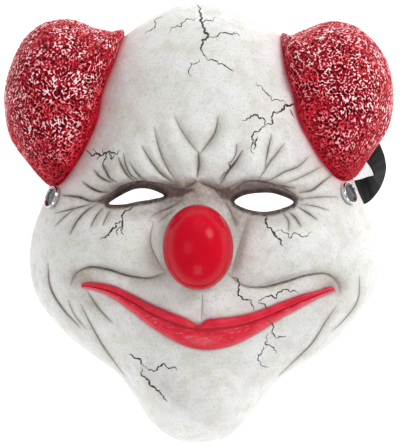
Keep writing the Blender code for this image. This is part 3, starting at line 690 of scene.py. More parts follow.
def outer_skin():
    """The painted side of the face."""
    base, normals, keep = face_base(SKIN_RINGS)
    x, y = base[:, :, 0], base[:, :, 1]
    relief = painted_relief(x, y)
    for height, size, seed in SKIN_LUMPS:
        relief += height * gradient_noise(base, size, seed)
    for table in (EYE_LEFT, EYE_RIGHT):
        off = outline_distance(x, y, eye_outline(table))
        turned_in = np.clip(1.0 - off / LID_EDGE, 0.0, 1.0)
        relief -= LID_EDGE * (1.0 - np.sqrt(1.0 - turned_in ** 2))
        relief += LID_SWELL * np.exp(-((off - LID_SWELL_AT) / LID_SWELL_AT * 1.6) ** 2)
    return base + (relief * keep)[:, :, None] * normals


def inner_skin():
    """The inside of the face."""
    base, normals, keep = face_base(INSIDE_RINGS)
    x, y = base[:, :, 0], base[:, :, 1]
    relief = painted_relief(x, y, 2 * WRINKLE_REACH)
    return base + (relief * keep - WALL)[:, :, None] * normals


# Meshes

def added(name, data):
    """A new object in the scene."""
    obj = bpy.data.objects.new(name, data)
    bpy.context.scene.collection.objects.link(obj)
    return obj


def quads(index):
    """Faces between the rings of a grid of vertex numbers."""
    low, high = index[:-1], index[1:]
    return np.stack([low, high, np.roll(high, -1, 1), np.roll(low, -1, 1)], -1).reshape(-1, 4).tolist()


def ring_mesh(name, grid, ends=None):
    """A closed mesh from a stack of rings, joined into a loop or closed by two end points."""
    rings, sectors = grid.shape[:2]
    index = np.arange(rings * sectors).reshape(rings, sectors)
    points = grid.reshape(-1, 3)
    if ends is None:
        index = np.vstack([index, index[:1]])
    faces = quads(index)
    if ends is not None:
        count = len(points)
        points = np.vstack([points, ends])
        first, last = index[0], index[-1]
        faces += [(count, a, b) for a, b in zip(first.tolist(), np.roll(first, -1).tolist())]
        faces += [(count + 1, b, a) for a, b in zip(last.tolist(), np.roll(last, -1).tolist())]
    mesh = bpy.data.meshes.new(name)
    mesh.from_pydata(points.tolist(), [], faces)
    bm = bmesh.new()
    bm.from_mesh(mesh)
    bmesh.ops.recalc_face_normals(bm, faces=bm.faces)
    bm.to_mesh(mesh)
    bm.free()
    mesh.shade_smooth()
    return added(name, mesh)


def shaded(obj):
    """Shade an object smooth but for its sharp edges."""
    obj.data.shade_smooth()
    obj.data.set_sharp_from_angle(angle=math.radians(SHARP_EDGE))


def cut_away(obj, cutters):
    """Take the cutters out of an object and delete them."""
    for cutter in cutters:
        modifier = obj.modifiers.new("cut", "BOOLEAN")
        modifier.operation = "DIFFERENCE"
        modifier.object = cutter
    evaluated = obj.evaluated_get(bpy.context.evaluated_depsgraph_get())
    mesh = bpy.data.meshes.new_from_object(evaluated)
    obj.modifiers.clear()
    obj.data = mesh
    for cutter in cutters:
        bpy.data.objects.remove(cutter, do_unlink=True)


def points_of(obj):
    """The places of an object's vertices."""
    points = np.empty(len(obj.data.vertices) * 3)
    obj.data.vertices.foreach_get("co", points)
    return points.reshape(-1, 3)


def paint(obj, name, values):
    """Store one number for each vertex, for the materials."""
    attribute = obj.data.attributes.new(name, "FLOAT", "POINT")
    attribute.data.foreach_set("value", np.clip(values, 0.0, 1.0).astype(np.float32).ravel())


def dress(obj, look, slot, *nodes):
    """Give a piece its material and its place on the part."""
    obj.data.materials.clear()
    obj.data.materials.append(look)
    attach(obj, "root")
    if nodes:
        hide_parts(*nodes)


def skin_tree(grid):
    """The faces of a skin, for finding where things meet it."""
    rings, sectors = grid.shape[:2]
    index = np.arange(rings * sectors).reshape(rings, sectors)
    return BVHTree.FromPolygons(grid.reshape(-1, 3).tolist(), quads(index))


def skin_heights(tree, x, y):
    """Height of the skin over places, and -1 where there is none."""
    down = Vector((0.0, 0.0, -1.0))
    heights = []
    for px, py in zip(np.ravel(x).tolist(), np.ravel(y).tolist()):
        hit = tree.ray_cast(Vector((px, py, 2 * FACE_DEPTH)), down)[0]
        heights.append(hit.z if hit else -1.0)
    return np.array(heights).reshape(np.shape(x))


# Materials

class Look:
    """A Principled material and a short way to add nodes to it."""

    def __init__(self, name, roughness, metallic=0.0, specular=0.5):
        self.material = bpy.data.materials.new(name)
        self.material.use_nodes = True
        self.tree = self.material.node_tree
        self.shader = self.tree.nodes["Principled BSDF"]
        self.place = self.tree.nodes.new("ShaderNodeTexCoord").outputs["Object"]
        self.put(self.shader.inputs["Roughness"], roughness)
        self.put(self.shader.inputs["Metallic"], metallic)
        self.put(self.shader.inputs["Specular IOR Level"], specular)

    def put(self, socket, value):
        """Link a socket to another or set its value."""
        if isinstance(value, bpy.types.NodeSocket):
            self.tree.links.new(value, socket)
        elif isinstance(value, tuple) and len(value) == 3 and socket.type == "RGBA":
            socket.default_value = (*value, 1.0)
        else:
            socket.default_value = value

    def node(self, kind, inputs, **settings):
        """Add a node with its settings and inputs."""
        node = self.tree.nodes.new(kind)
        for key, value in settings.items():
            setattr(node, key, value)
        for key, value in inputs.items():
            self.put(node.inputs[key], value)
        return node

    def noise(self, size, detail=2.0, stretch=(1.0, 1.0, 1.0)):
        """Noise with bumps of this size in metres, longer where the stretch is below 1."""
        place = self.node("ShaderNodeVectorMath", {0: self.place, 1: stretch}, operation="MULTIPLY")
        inputs = {"Vector": place.outputs[0], "Scale": 1.0 / size, "Detail": detail}
        return self.node("ShaderNodeTexNoise", inputs).outputs["Fac"]

    def cells(self, size):
        """Distances in a pattern of cells of this size."""
        inputs = {"Vector": self.place, "Scale": 1.0 / size}
        return self.node("ShaderNodeTexVoronoi", inputs).outputs["Distance"]

    def painted(self, name):
        """A number stored with the mesh."""
        return self.node("ShaderNodeAttribute", {}, attribute_name=name).outputs["Fac"]

    def spread(self, value, low, high, to_low=0.0, to_high=1.0):
        """Map one range to another, smoothly."""
        inputs = {"Value": value, 1: low, 2: high, 3: to_low, 4: to_high}
        return self.node("ShaderNodeMapRange", inputs, interpolation_type="SMOOTHSTEP").outputs[0]

    def times(self, first, second, operation="MULTIPLY"):
        """Join two numbers."""
        return self.node("ShaderNodeMath", {0: first, 1: second}, operation=operation).outputs[0]

    def mix(self, amount, first, second):
        """Mix two colours."""
        inputs = {0: amount, 6: first, 7: second}
        return self.node("ShaderNodeMix", inputs, data_type="RGBA").outputs[2]

    def mottle(self, under, tint, size, detail, low, high, most):
        """Blotches of a tint, about this size, over a colour."""
        return self.mix(self.spread(self.noise(size, detail), low, high, 0.0, most), under, tint)

    def bump(self, height, distance):
        """Fine relief in the shading."""
        inputs = {"Height": height, "Distance": distance, "Strength": 1.0}
        return self.node("ShaderNodeBump", inputs).outputs["Normal"]

    def finish(self, colour, normal=None, roughness=None):
        """Link the results to the shader."""
        self.put(self.shader.inputs["Base Color"], colour)
        if normal:
            self.put(self.shader.inputs["Normal"], normal)
        if roughness:
            self.put(self.shader.inputs["Roughness"], roughness)
        return self.material


def face_paint():
    """Off-white paint, mottled, with dark paint lines and painted shade in its creases."""
    look = Look("face_white", 0.5)
    colour = look.mix(look.spread(look.noise(0.022), 0.35, 0.65), (0.84, 0.84, 0.83), (0.77, 0.78, 0.74))
    colour = look.mottle(colour, (0.72, 0.67, 0.67), 0.009, 3.0, 0.45, 0.72, 0.8)
    colour = look.mottle(colour, (0.68, 0.70, 0.58), 0.0065, 3.0, 0.50, 0.70, 0.7)
    colour = look.mottle(colour, (0.42, 0.39, 0.35), 0.0012, 3.0, 0.50, 0.72, 0.38)
    speck = look.spread(look.cells(0.0035), 0.06, 0.10, 0.35, 0.0)
    colour = look.mix(look.times(speck, look.spread(look.noise(0.02), 0.5, 0.6)), colour,
                      (0.16, 0.13, 0.10))
    colour = look.mix(look.painted("spray"), colour, (0.78, 0.13, 0.19))
    broken = look.spread(look.noise(0.0022, 3.0), 0.3, 0.7, 0.70, 1.0)
    # brown paint and painted shade: sprayed spots, shade beside the wrinkles and the puffs, and round the
    # eyes
    brown = look.mix(look.spread(look.noise(0.012), 0.4, 0.6), (0.125, 0.048, 0.034), (0.235, 0.125, 0.050))
    colour = look.mix(look.times(look.painted("brown_and_shade"), broken), colour, brown)
    colour = look.mix(look.times(look.painted("lids"), look.spread(broken, 0.70, 1.0, 0.88, 1.0)), colour,
                      (0.105, 0.050, 0.050))
    # dark paint lines in the wrinkles, with painted shade: the dark rim of the eye holes and the shadow line
    # round the lips
    colour = look.mix(look.times(look.painted("lines_and_shade"), broken), colour, (0.030, 0.014, 0.010))
    grain = look.times(look.noise(0.0009, 3.0), look.times(look.noise(0.004), 1.5), "ADD")
    normal = look.bump(grain, 0.00016)
    return look.finish(colour, normal, look.spread(look.noise(0.006), 0.3, 0.7, 0.42, 0.58))


def hair_paint():
    """Red curls, with painted shade between them, and pale on the brushed tips, partly painted highlight."""
    look = Look("hair_red", 0.45, specular=0.12)
    curl = look.painted("curl")
    fine = look.noise(0.0009, 2.0)
    # painted shade: darkest where the curls are lowest
    colour = look.mix(look.spread(curl, 0.14, 0.66), (0.040, 0.000, 0.002), (0.66, 0.002, 0.022))
    colour = look.mottle(colour, (0.40, 0.001, 0.012), 0.007, 2.0, 0.4, 0.65, 0.5)
    # pale tips: brushed paint, partly painted highlight where the curls stand highest
    lit = look.times(curl, look.times(look.times(fine, 0.5, "SUBTRACT"), 0.6), "ADD")
    lit = look.times(lit, 0.175, "ADD")
    brush = look.painted("brush")
    hint = look.times(look.spread(lit, 0.84, 1.02), look.times(brush, 0.5))
    colour = look.mix(hint, colour, (0.85, 0.14, 0.20))
    colour = look.mix(look.times(look.spread(lit, 0.93, 0.99), brush), colour, (1.0, 0.95, 0.96))
    # painted highlight: a pale edge where the puff meets the face
    colour = look.mix(look.painted("pale"), colour, (0.85, 0.22, 0.28))
    normal = look.bump(fine, 0.0003)
    return look.finish(colour, normal)


def nose_paint():
    """Glossy red paint, with painted shade towards the skin."""
    look = Look("nose_red", 0.20, specular=0.10)
    colour = look.mix(look.noise(0.01, 2.0), (0.58, 0.001, 0.012), (0.68, 0.004, 0.024))
    # painted shade: darker towards the skin
    colour = look.mix(look.painted("foot"), colour, (0.13, 0.001, 0.005))
    normal = look.bump(look.noise(0.003, 2.0), 0.00006)
    return look.finish(colour, normal)


def lip_paint():
    """Satin red paint with brush marks along the lips, and a pale band on the lower lip, partly wear and
    partly painted highlight.
    """
    look = Look("lip_red", 0.33, specular=0.35)
    colour = look.mix(look.spread(look.noise(0.006, 3.0), 0.35, 0.7), (0.70, 0.005, 0.026),
                      (0.82, 0.022, 0.060))
    colour = look.mix(look.painted("seam"), colour, (0.42, 0.004, 0.016))
    # pale streaks: partly wear, partly painted highlight
    pale_streaks = look.spread(look.noise(0.0011, 3.0, (0.25, 1.0, 1.0)), 0.54, 0.70, 0.0, 0.5)
    colour = look.mix(look.times(pale_streaks, look.painted("wear_and_highlight")), colour, (0.80, 0.30, 0.34))
    normal = look.bump(look.noise(0.0016, 3.0), 0.00018)
    return look.finish(colour, normal)


def rivet_metal():
    """Polished steel, with a painted dark reflection in the dish."""
    look = Look("rivet_chrome", 0.16, metallic=1.0)
    # painted reflection: the dish is coloured nearly black
    colour = look.mix(look.painted("dish"), (0.72, 0.72, 0.72), (0.050, 0.056, 0.060))
    colour = look.mottle(colour, (0.32, 0.31, 0.30), 0.0012, 3.0, 0.55, 0.75, 0.4)
    return look.finish(colour, look.bump(look.noise(0.0008, 2.0), 0.00003))


def strap_weave():
    """Black ribbed elastic."""
    look = Look("strap_black", 0.75, specular=0.3)
    look.shader.inputs["Sheen Weight"].default_value = 0.10
    stitches = look.node("ShaderNodeMath", {0: look.times(look.painted("along"), STITCH_RATE)},
                         operation="SINE").outputs[0]
    stitches = look.spread(stitches, -1.0, 1.0)
    colour = look.mix(stitches, (0.004, 0.004, 0.005), (0.013, 0.013, 0.014))
    colour = look.mottle(colour, (0.07, 0.07, 0.075), 0.0006, 2.0, 0.6, 0.8, 0.5)
    return look.finish(colour, look.bump(stitches, 0.0001))


def line_paint(name, dark, light):
    """The paint in the cracks and wrinkles, fading where a line is weak."""
    look = Look(name, 0.8)
    strength = look.times(look.painted("dark"), look.spread(look.noise(0.003, 3.0), 0.3, 0.7, 0.75, 1.0))
    return look.finish(look.mix(strength, light, dark))


# Pieces

def lip_rows():
    """Stations of the lips in metres: x, y of the mouth line, lip above, lip below."""
    half = np.array((FACE_WIDTH, FACE_HEIGHT, FACE_HEIGHT, FACE_HEIGHT)) / 2
    return open_curve(LIPS, LIP_STATIONS) * half


def puff_outline(side):
    """Edge of a hair puff in metres, and the other columns of its table."""
    edge = closed_curve(PUFF_EDGE, PUFF_SECTORS)
    high = smooth_step(0.1, 0.8, edge[:, 1])
    edge[:, 0] *= 1.0 - PUFF_SKEW * side * high * (edge[:, 0] < 0.0)
    edge[:, 1] *= 1.0 - PUFF_LIFT * side * high
    x = (PUFF_ACROSS * HALF_WIDTH + edge[:, 0] * PUFF_WIDTH / 2) * side
    y = PUFF_UP * HALF_HEIGHT + edge[:, 1] * PUFF_HEIGHT / 2
    return x, y, np.clip(edge[:, 2], 0.0, 1.0), np.clip(edge[:, 3], 0.0, 1.0) * TEMPLE_RISE


def build_face(outer, inner):
    """The painted shell, and the cutters for its eye holes."""
    skin = ring_mesh("face_skin", np.concatenate([inner, outer[::-1]]))
    heights = (FACE_DEPTH / 2, FACE_DEPTH * 1.5)
    cutters = []
    for name, table in (("eye_cutter_left", EYE_LEFT), ("eye_cutter_right", EYE_RIGHT)):
        edge = eye_outline(table)
        levels = [np.column_stack([edge, np.full(len(edge), z)]) for z in heights]
        ends = [(*edge.mean(axis=0), z) for z in heights]
        cutters.append(ring_mesh(name, np.array(levels), ends))
    return skin, cutters


def paint_face(skin):
    """Store where the face is dirty, shaded and sprayed."""
    points = points_of(skin)
    x, y = points[:, 0], points[:, 1]
    across, up = x / HALF_WIDTH, y / HALF_HEIGHT
    lines_and_shade = np.zeros(len(x))
    brown_and_shade = np.zeros(len(x))
    for depth, _, dark, route in WRINKLES:
        nearest, fade = line_distance(x, y, in_metres(route, 0.01))
        lines_and_shade = np.maximum(lines_and_shade, STAIN * dark * fade * bell(nearest, STAIN_WIDTH))
        # painted shade beside each wrinkle
        brown_and_shade = np.maximum(brown_and_shade, HALO * depth * fade * np.exp(-nearest / HALO_REACH))
    lids = np.zeros(len(x))
    for brown, route in LIDS:
        inside = -outline_distance(x, y, in_metres(route, 0.01))
        lids = np.maximum(lids, brown * smooth_step(-LID_BLUR_OUT, LID_BLUR_IN, inside))
    # sprayed brown and purple paint, partly painted shade
    for row in SPRAY_AND_SHADE_SPOTS:
        brown_and_shade = 1.0 - (1.0 - brown_and_shade) * (1.0 - row[-1] * blot(across, up, row))
    # round the eye holes: a dark rim and brown, each partly paint and partly painted shade
    for table in (EYE_LEFT, EYE_RIGHT):
        off = outline_distance(x, y, eye_outline(table))
        lines_and_shade = np.maximum(lines_and_shade, bell(np.maximum(off - EYE_RIM, 0.0), EYE_RIM_BLUR))
        brown_and_shade = np.maximum(brown_and_shade, EYE_SHADE * bell(np.maximum(off, 0.0), EYE_SHADE_WIDTH))
    rows = lip_rows()
    outline = np.concatenate([np.column_stack([rows[:, 0], rows[:, 1] + rows[:, 2]]),
                              np.column_stack([rows[:, 0], rows[:, 1] - rows[:, 3]])[::-1]])
    off = outline_distance(x, y, outline[::4])
    # painted shadow: a dark line on the skin round the lips
    lines_and_shade = np.maximum(lines_and_shade, LIP_SHADOW_LINE * bell(np.maximum(off, 0.0), LIP_SHADOW_LINE_WIDTH))
    spray = LIP_SPRAY * np.exp(-np.maximum(off, 0.0) / LIP_SPRAY_REACH)
    for side in (-1, 1):
        edge = np.column_stack(puff_outline(side)[:2])
        off = np.maximum(outline_distance(x, y, edge[::6]), 0.0)
        mist = (0.10 - 0.06 * side) * np.exp(-off / PUFF_MIST)
        spray = np.maximum(spray, PUFF_SPRAY * np.exp(-off / PUFF_SPRAY_REACH) + mist)
        # painted shade on the skin beside each puff, stronger on the left
        brown_and_shade = np.maximum(brown_and_shade, (0.09 - 0.07 * side) * np.exp(-off / PUFF_SHADE))
    paint(skin, "lines_and_shade", lines_and_shade)
    paint(skin, "brown_and_shade", brown_and_shade)
    paint(skin, "lids", lids)
    paint(skin, "spray", spray)


def build_nose(tree):
    """The ball nose, a hollow dome that sits on the skin."""
    y = NOSE_UP * HALF_HEIGHT
    middle = np.array((0.0, y, float(face_height(np.array(0.0), np.array(y))[0]) + NOSE_STANDOFF))
    halves = np.array((NOSE_WIDTH / 2, NOSE_HEIGHT / 2, NOSE_REACH))
    around = np.arange(NOSE_SECTORS) * 2 * math.pi / NOSE_SECTORS
    down = np.linspace(0.0, math.pi - math.asin(NOSE_FOOT), NOSE_RINGS + 1)[1:, None]
    ball = np.stack([np.sin(down) * np.cos(around), np.sin(down) * np.sin(around),
                     np.cos(down) * np.ones_like(around)], 2)
    layers = []
    for wall, clearance in ((0.0, GAP), (NOSE_WALL, GAP + NOSE_WALL / 4)):
        shell = middle + ball * (halves - wall)
        skin = skin_heights(tree, shell[:, :, 0], shell[:, :, 1])
        shell[:, :, 2] = np.maximum(shell[:, :, 2], skin + clearance)
        layers.append(shell)
    outer, inner = layers
    tip = middle + (0.0, 0.0, halves[2])
    nose = ring_mesh("nose_ball", np.concatenate([outer, inner[::-1]]),
                     [tip, tip - (0.0, 0.0, NOSE_WALL)])
    points = points_of(nose)
    skin = skin_heights(tree, points[:, 0], points[:, 1])
    above = np.maximum(points[:, 2] - skin, 0.0)
    # painted shade: a contact shadow and a wider shade towards the skin
    paint(nose, "foot", 0.5 * np.exp(-above / NOSE_CONTACT) + 0.85 * np.exp(-above / NOSE_SHADE))
    return nose


def build_lips(tree):
    """The raised mouth with its seam, seated on the skin."""
    offsets = np.sin(np.linspace(-1.0, 1.0, LIP_OFFSETS) * math.pi / 2)
    rows = lip_rows()
    reach = np.where(offsets[None, :] > 0.0, rows[:, 2:3], rows[:, 3:4])
    x = np.repeat(rows[:, 0:1], LIP_OFFSETS, axis=1)
    y = rows[:, 1:2] + offsets * reach
    skin = skin_heights(tree, x, y) + LIP_UNDER
    along = (np.arange(len(rows))[:, None] + 0.5) / len(rows)
    full = LIP_CORNER + (1.0 - LIP_CORNER) * np.sin(math.pi * along) ** 0.5
    seam = bell(offsets, LIP_SEAM_WIDTH)
    swell = np.sqrt(np.maximum(1.0 - offsets ** 2, 0.0)) * (1.0 - LIP_SEAM * seam)
    top = np.stack([x, y, skin + LIP_RISE * full * swell], 2)
    under = np.stack([x, y, skin], 2)[:, 1:-1]
    grid = np.concatenate([top, under[:, ::-1]], axis=1)
    lips = ring_mesh("lips_skin", grid, [grid[0].mean(axis=0), grid[-1].mean(axis=0)])
    edge = np.maximum(seam, 0.6 * smooth_step(LIP_EDGE, 1.0, np.abs(offsets)))
    edge = np.concatenate([edge, edge[1:-1][::-1]])
    wear_and_highlight = bell(np.concatenate([offsets, offsets[1:-1][::-1]]) - LIP_PALE_BAND_AT, LIP_PALE_BAND_WIDTH)
    fill = np.ones((len(rows), 1))
    paint(lips, "seam", np.append((fill * edge).ravel(), (0.5, 0.5)) * 0.8)
    paint(lips, "wear_and_highlight", np.append((fill * wear_and_highlight).ravel(), (0.0, 0.0)))
    return lips


def curl_relief(points, seed):
    """Height of the curls, 0 to 1: worms along the zero lines of two noises."""
    first = gradient_noise(points, CURL_CELL, seed)
    second = gradient_noise(points, CURL_CELL * CURL_SECOND, seed + 1)
    worms = np.maximum(bell(first, CURL_LINE), 0.8 * bell(second, CURL_LINE))
    lumps = 0.5 + gradient_noise(points, CURL_CELL * CURL_LUMP, seed + 2)
    return np.clip(0.75 * worms + 0.35 * lumps * worms + 0.12 * lumps, 0.0, 1.0)


def build_puff(name, side, tree):
    """A hollow hair puff with curls, seated on the face."""
    x, y, seated, low = puff_outline(side)
    foot = low * (1.0 - seated) + np.maximum(face_height(x, y)[0] - PUFF_SINK, low) * seated
    middle_x = PUFF_ACROSS * HALF_WIDTH * side
    middle_y = PUFF_UP * HALF_HEIGHT

    def dome(count):
        fine = np.linspace(0.0, 1.0, 2001)
        height = np.maximum(1.0 - fine ** PUFF_POWER, 0.0) ** (1.0 / PUFF_ROUNDING)
        length = np.concatenate([[0.0], np.cumsum(np.hypot(np.diff(fine), np.diff(height)))])
        at = np.interp(np.linspace(0.0, length[-1], count + 1)[1:], length, fine)[:, None]
        height = np.maximum(1.0 - at ** PUFF_POWER, 0.0) ** (1.0 / PUFF_ROUNDING)
        grid = np.stack([middle_x + at * (x - middle_x), middle_y + at * (y - middle_y),
                         foot + (PUFF_TOP - foot) * height], 2)
        normals = grid_normals(grid)
        normals[-1, :, 2] = 0.0
        normals[-1] = unit(normals[-1])
        return grid, normals

    base, normals = dome(PUFF_RINGS)
    off = np.linalg.norm(base - base[-1], axis=2)
    calm = seated * bell(off, CURL_CALM)
    curl = curl_relief(base, 40 + 10 * side)
    rank = np.empty(curl.size)
    rank[np.argsort(curl, axis=None, kind="stable")] = np.linspace(0.0, 1.0, curl.size)
    fade = (1.0 - CURL_SHARE_CALM * calm) * smooth_step(0.0, CURL_START, off)
    outer = base + (CURL_HEIGHT * (curl - CURL_LEVEL) * fade)[:, :, None] * normals
    outer += (PUFF_LUMP * gradient_noise(base, PUFF_LUMP_SIZE, 60 + side) * fade)[:, :, None] * normals
    skin = skin_heights(tree, outer[:, :, 0], outer[:, :, 1])
    outer[:, :, 2] = np.maximum(outer[:, :, 2], skin + GAP)
    inside, inside_normals = dome(PUFF_INSIDE_RINGS)
    inner = inside - PUFF_WALL * inside_normals
    skin = skin_heights(tree, inner[:, :, 0], inner[:, :, 1])
    inner[:, :, 2] = np.maximum(inner[:, :, 2], skin + GAP / 2)
    top = np.array((middle_x, middle_y, PUFF_TOP))
    puff = ring_mesh(name, np.concatenate([outer, inner[::-1]]), [top, top - (0.0, 0.0, PUFF_WALL)])
    patch = smooth_step(-0.25, 0.25, gradient_noise(base, BRUSH_SIZE, 70 + side) + 0.12)
    smooth = seated * bell(off, CURL_PLAIN)
    low_tip = middle_y - PUFF_HEIGHT / 2
    # where the tips are brushed pale, partly painted highlight, fading towards the lower end
    brush = (1.0 - smooth) ** 1.5 * (BRUSH_LEAST + (1.0 - BRUSH_LEAST) * patch)
    brush *= smooth_step(low_tip, low_tip + PUFF_HEIGHT * 0.35, base[:, :, 1])
    inner_count = inner.shape[0] * inner.shape[1]
    paint(puff, "curl", np.concatenate([rank, np.full(inner_count, 0.4), (0.5, 0.4)]))
    paint(puff, "brush", np.concatenate([brush.ravel(), np.zeros(inner_count + 2)]))
    # painted highlight: strong on the right puff, faint on the left
    pale = (0.5 + 0.4 * side) * seated * bell(off, PUFF_EDGE_HIGHLIGHT)
    paint(puff, "pale", np.concatenate([pale.ravel(), np.zeros(inner_count + 2)]))
    return puff


def rivet_frame(place, tree):
    """Point on the skin and outward axis of a rivet."""
    x, y = place[0] * HALF_WIDTH, place[1] * HALF_HEIGHT
    spread = RIVET_DIAMETER / 5
    corners = []
    for dx, dy in ((0, 0), (spread, 0), (0, spread), (-spread, 0), (0, -spread)):
        corners.append(tree.ray_cast(Vector((x + dx, y + dy, FACE_DEPTH * 2)), Vector((0, 0, -1)))[0])
    axis = (corners[1] - corners[3]).cross(corners[2] - corners[4]).normalized()
    return corners[0], axis


def seat(tree, point, axis, radius):
    """How far the skin reaches along the axis under a disc across it."""
    side = axis.orthogonal().normalized()
    other = axis.cross(side)
    reach = 0.0
    for ring in (0.5, 1.0):
        for k in range(SEAT_SAMPLES):
            turn = k * 2 * math.pi / SEAT_SAMPLES
            start = point + (side * math.cos(turn) + other * math.sin(turn)) * radius * ring
            hit = tree.ray_cast(start + axis * RIVET_DIAMETER, -axis)[0]
            if hit:
                reach = max(reach, (hit - point).dot(axis))
    return reach


def turned(name, frame, profile):
    """A turned solid about the frame's axis from a profile of radius and height."""
    point, axis = frame
    turn = np.array(axis.to_track_quat("Z", "Y").to_matrix())
    angles = np.arange(RIVET_SIDES) * 2 * math.pi / RIVET_SIDES
    rings = [np.column_stack([r * np.cos(angles), r * np.sin(angles), np.full(RIVET_SIDES, h)])
             for r, h in profile[1:-1]]
    ends = [(0.0, 0.0, profile[0][1]), (0.0, 0.0, profile[-1][1])]
    place = np.array(point)
    return ring_mesh(name, np.array(rings) @ turn.T + place, np.array(ends) @ turn.T + place)


def build_rivet(name, frame, levels):
    """A rivet with a dished cap, and the cutter for its hole."""
    cap_foot, head_top = levels
    cap, rim, shank, head = RIVET_CAP, RIVET_DIAMETER / 2, RIVET_SHANK / 2, RIVET_HEAD / 2
    head_foot = head_top - RIVET_HEAD_THICKNESS
    bend = np.linspace(0.0, math.pi, 13)
    crown = [(0.93 * rim - 0.07 * rim * math.cos(a), cap_foot + cap * (0.45 + 0.55 * math.sin(a)))
             for a in bend]
    dish = [(0.0, cap_foot + 0.60 * cap), (0.40 * rim, cap_foot + 0.58 * cap),
            (0.68 * rim, cap_foot + 0.52 * cap), (0.82 * rim, cap_foot + 0.46 * cap)]
    stem = [(0.96 * rim, cap_foot), (shank, cap_foot), (shank, head_top), (head * 0.96, head_top),
            (head, head_top - 0.15 * RIVET_HEAD_THICKNESS),
            (head, head_foot + 0.15 * RIVET_HEAD_THICKNESS), (head * 0.94, head_foot), (0.0, head_foot)]
    rivet = turned(name, frame, dish + crown + stem)
    rings = len(dish) + len(crown) + len(stem) - 2
    dark = np.zeros((rings, RIVET_SIDES))
    dark[:len(dish) - 1] = 1.0
    paint(rivet, "dish", np.append(dark.ravel(), (1.0, 0.0)))
    bore = shank + GAP
    cutter = turned(name + "_cutter", frame, ((0.0, 5 * cap), (bore, 5 * cap), (bore, -5 * cap),
                                              (0.0, -5 * cap)))
    return rivet, cutter


def wall_point(tree, point, axis, height):
    """Middle of the strap where it lies against the inside wall at a height."""
    out = Vector((axis.x, axis.y, 0.0)).normalized()
    start = Vector((point.x, point.y, height)) - out * FACE_WIDTH / 4
    hit = tree.ray_cast(start, out)[0]
    room = GAP + STRAP_EASE + STRAP_THICKNESS / 2 + STRAP_WIDTH ** 2 / (2 * FACE_WIDTH)
    return hit - out * room


def strap_stations(frames, depths, tree):
    """Places and width directions of the strap from the right rivet to the left one."""
    rows = []
    for (point, axis), depth in zip((frames[1], frames[0]), (depths[1], depths[0])):
        out = Vector((axis.x, axis.y, 0.0)).normalized()
        down = out * axis.z - Vector((0.0, 0.0, 1.0)) * out.dot(axis)
        across = axis.cross(down).normalized()
        middle = point - axis * depth
        climb = [(middle + down * STRAP_TAIL * step, across) for step in (-1.0, 0.0, 1.0)]
        low = point.z * 0.5 + TEMPLE_RISE * 0.3
        climb.append((wall_point(tree, point, axis, low), across))
        rows.append(climb)
    right, left = rows
    middle = []
    for across, up, high, turn, tilt in STRAP_ROUTE:
        place = Vector((across * HALF_WIDTH, up * HALF_HEIGHT, high * STRAP_THICKNESS))
        turn, tilt = math.radians(turn), math.radians(tilt)
        level = Vector((math.cos(turn), math.sin(turn), 0.0))
        middle.append((place, level * math.cos(tilt) + Vector((0.0, 0.0, 1.0)) * math.sin(tilt)))
    return right + middle + left[::-1]


def build_strap(frames, depths, tree):
    """The ribbed elastic band behind the face."""
    rows = [(*place, *across) for place, across in strap_stations(frames, depths, tree)]
    stations = open_curve(rows, STRAP_STATIONS, places=3)
    places = stations[:, :3]
    ahead = unit(np.gradient(places, axis=0))
    width = unit(stations[:, 3:])
    droop = np.abs(width[:, 2]) * STRAP_WIDTH / 2 + STRAP_THICKNESS / 2
    places[:, 2] = np.maximum(places[:, 2], droop)
    thick = unit(np.cross(ahead, width))
    offsets = np.linspace(-1.0, 1.0, RIB_STEPS * STRAP_RIBS + 1)
    rib = 1.0 - RIB_DEPTH + RIB_DEPTH * np.cos(offsets * STRAP_RIBS * math.pi)
    side = np.concatenate([offsets, offsets[::-1]]) * STRAP_WIDTH / 2
    face = np.concatenate([rib, -rib[::-1]]) * STRAP_THICKNESS / 2
    grid = (places[:, None] + width[:, None] * side[:, None] + thick[:, None] * face[:, None])
    strap = ring_mesh("strap_band", grid, [places[0], places[-1]])
    run = np.concatenate([[0.0], np.cumsum(np.linalg.norm(np.diff(places, axis=0), axis=1))])
    print(f"strap length {run[-1]:.3f} m")
    along = np.append((run[:, None] * np.ones(len(side))).ravel(), (0.0, run[-1]))
    paint(strap, "along", along)
    return strap


def crack_points(route, rng):
    """A jagged line through the route's points."""
    points = in_metres(route, 0.01)
    for _ in range(CRACK_SPLITS):
        steps = np.diff(points, axis=0)
        side = np.column_stack([-steps[:, 1], steps[:, 0]])
        push = rng.uniform(-CRACK_WANDER, CRACK_WANDER, (len(steps), 1))
        middles = points[:-1] + steps / 2 + side * push
        joined = np.empty((len(points) + len(middles), 2))
        joined[0::2], joined[1::2] = points, middles
        points = joined
    lengths = np.concatenate([[0.0], np.cumsum(np.linalg.norm(np.diff(points, axis=0), axis=1))])
    at = np.linspace(0.0, lengths[-1], max(int(lengths[-1] / LINE_STEP), 4))
    return np.column_stack([np.interp(at, lengths, points[:, n]) for n in (0, 1)])


def wrinkle_points(route):
    """A smooth line through the route's points."""
    points = in_metres(route, 0.01)
    length = np.linalg.norm(np.diff(points, axis=0), axis=1).sum()
    return open_curve(points, max(int(length / LINE_STEP), 4))


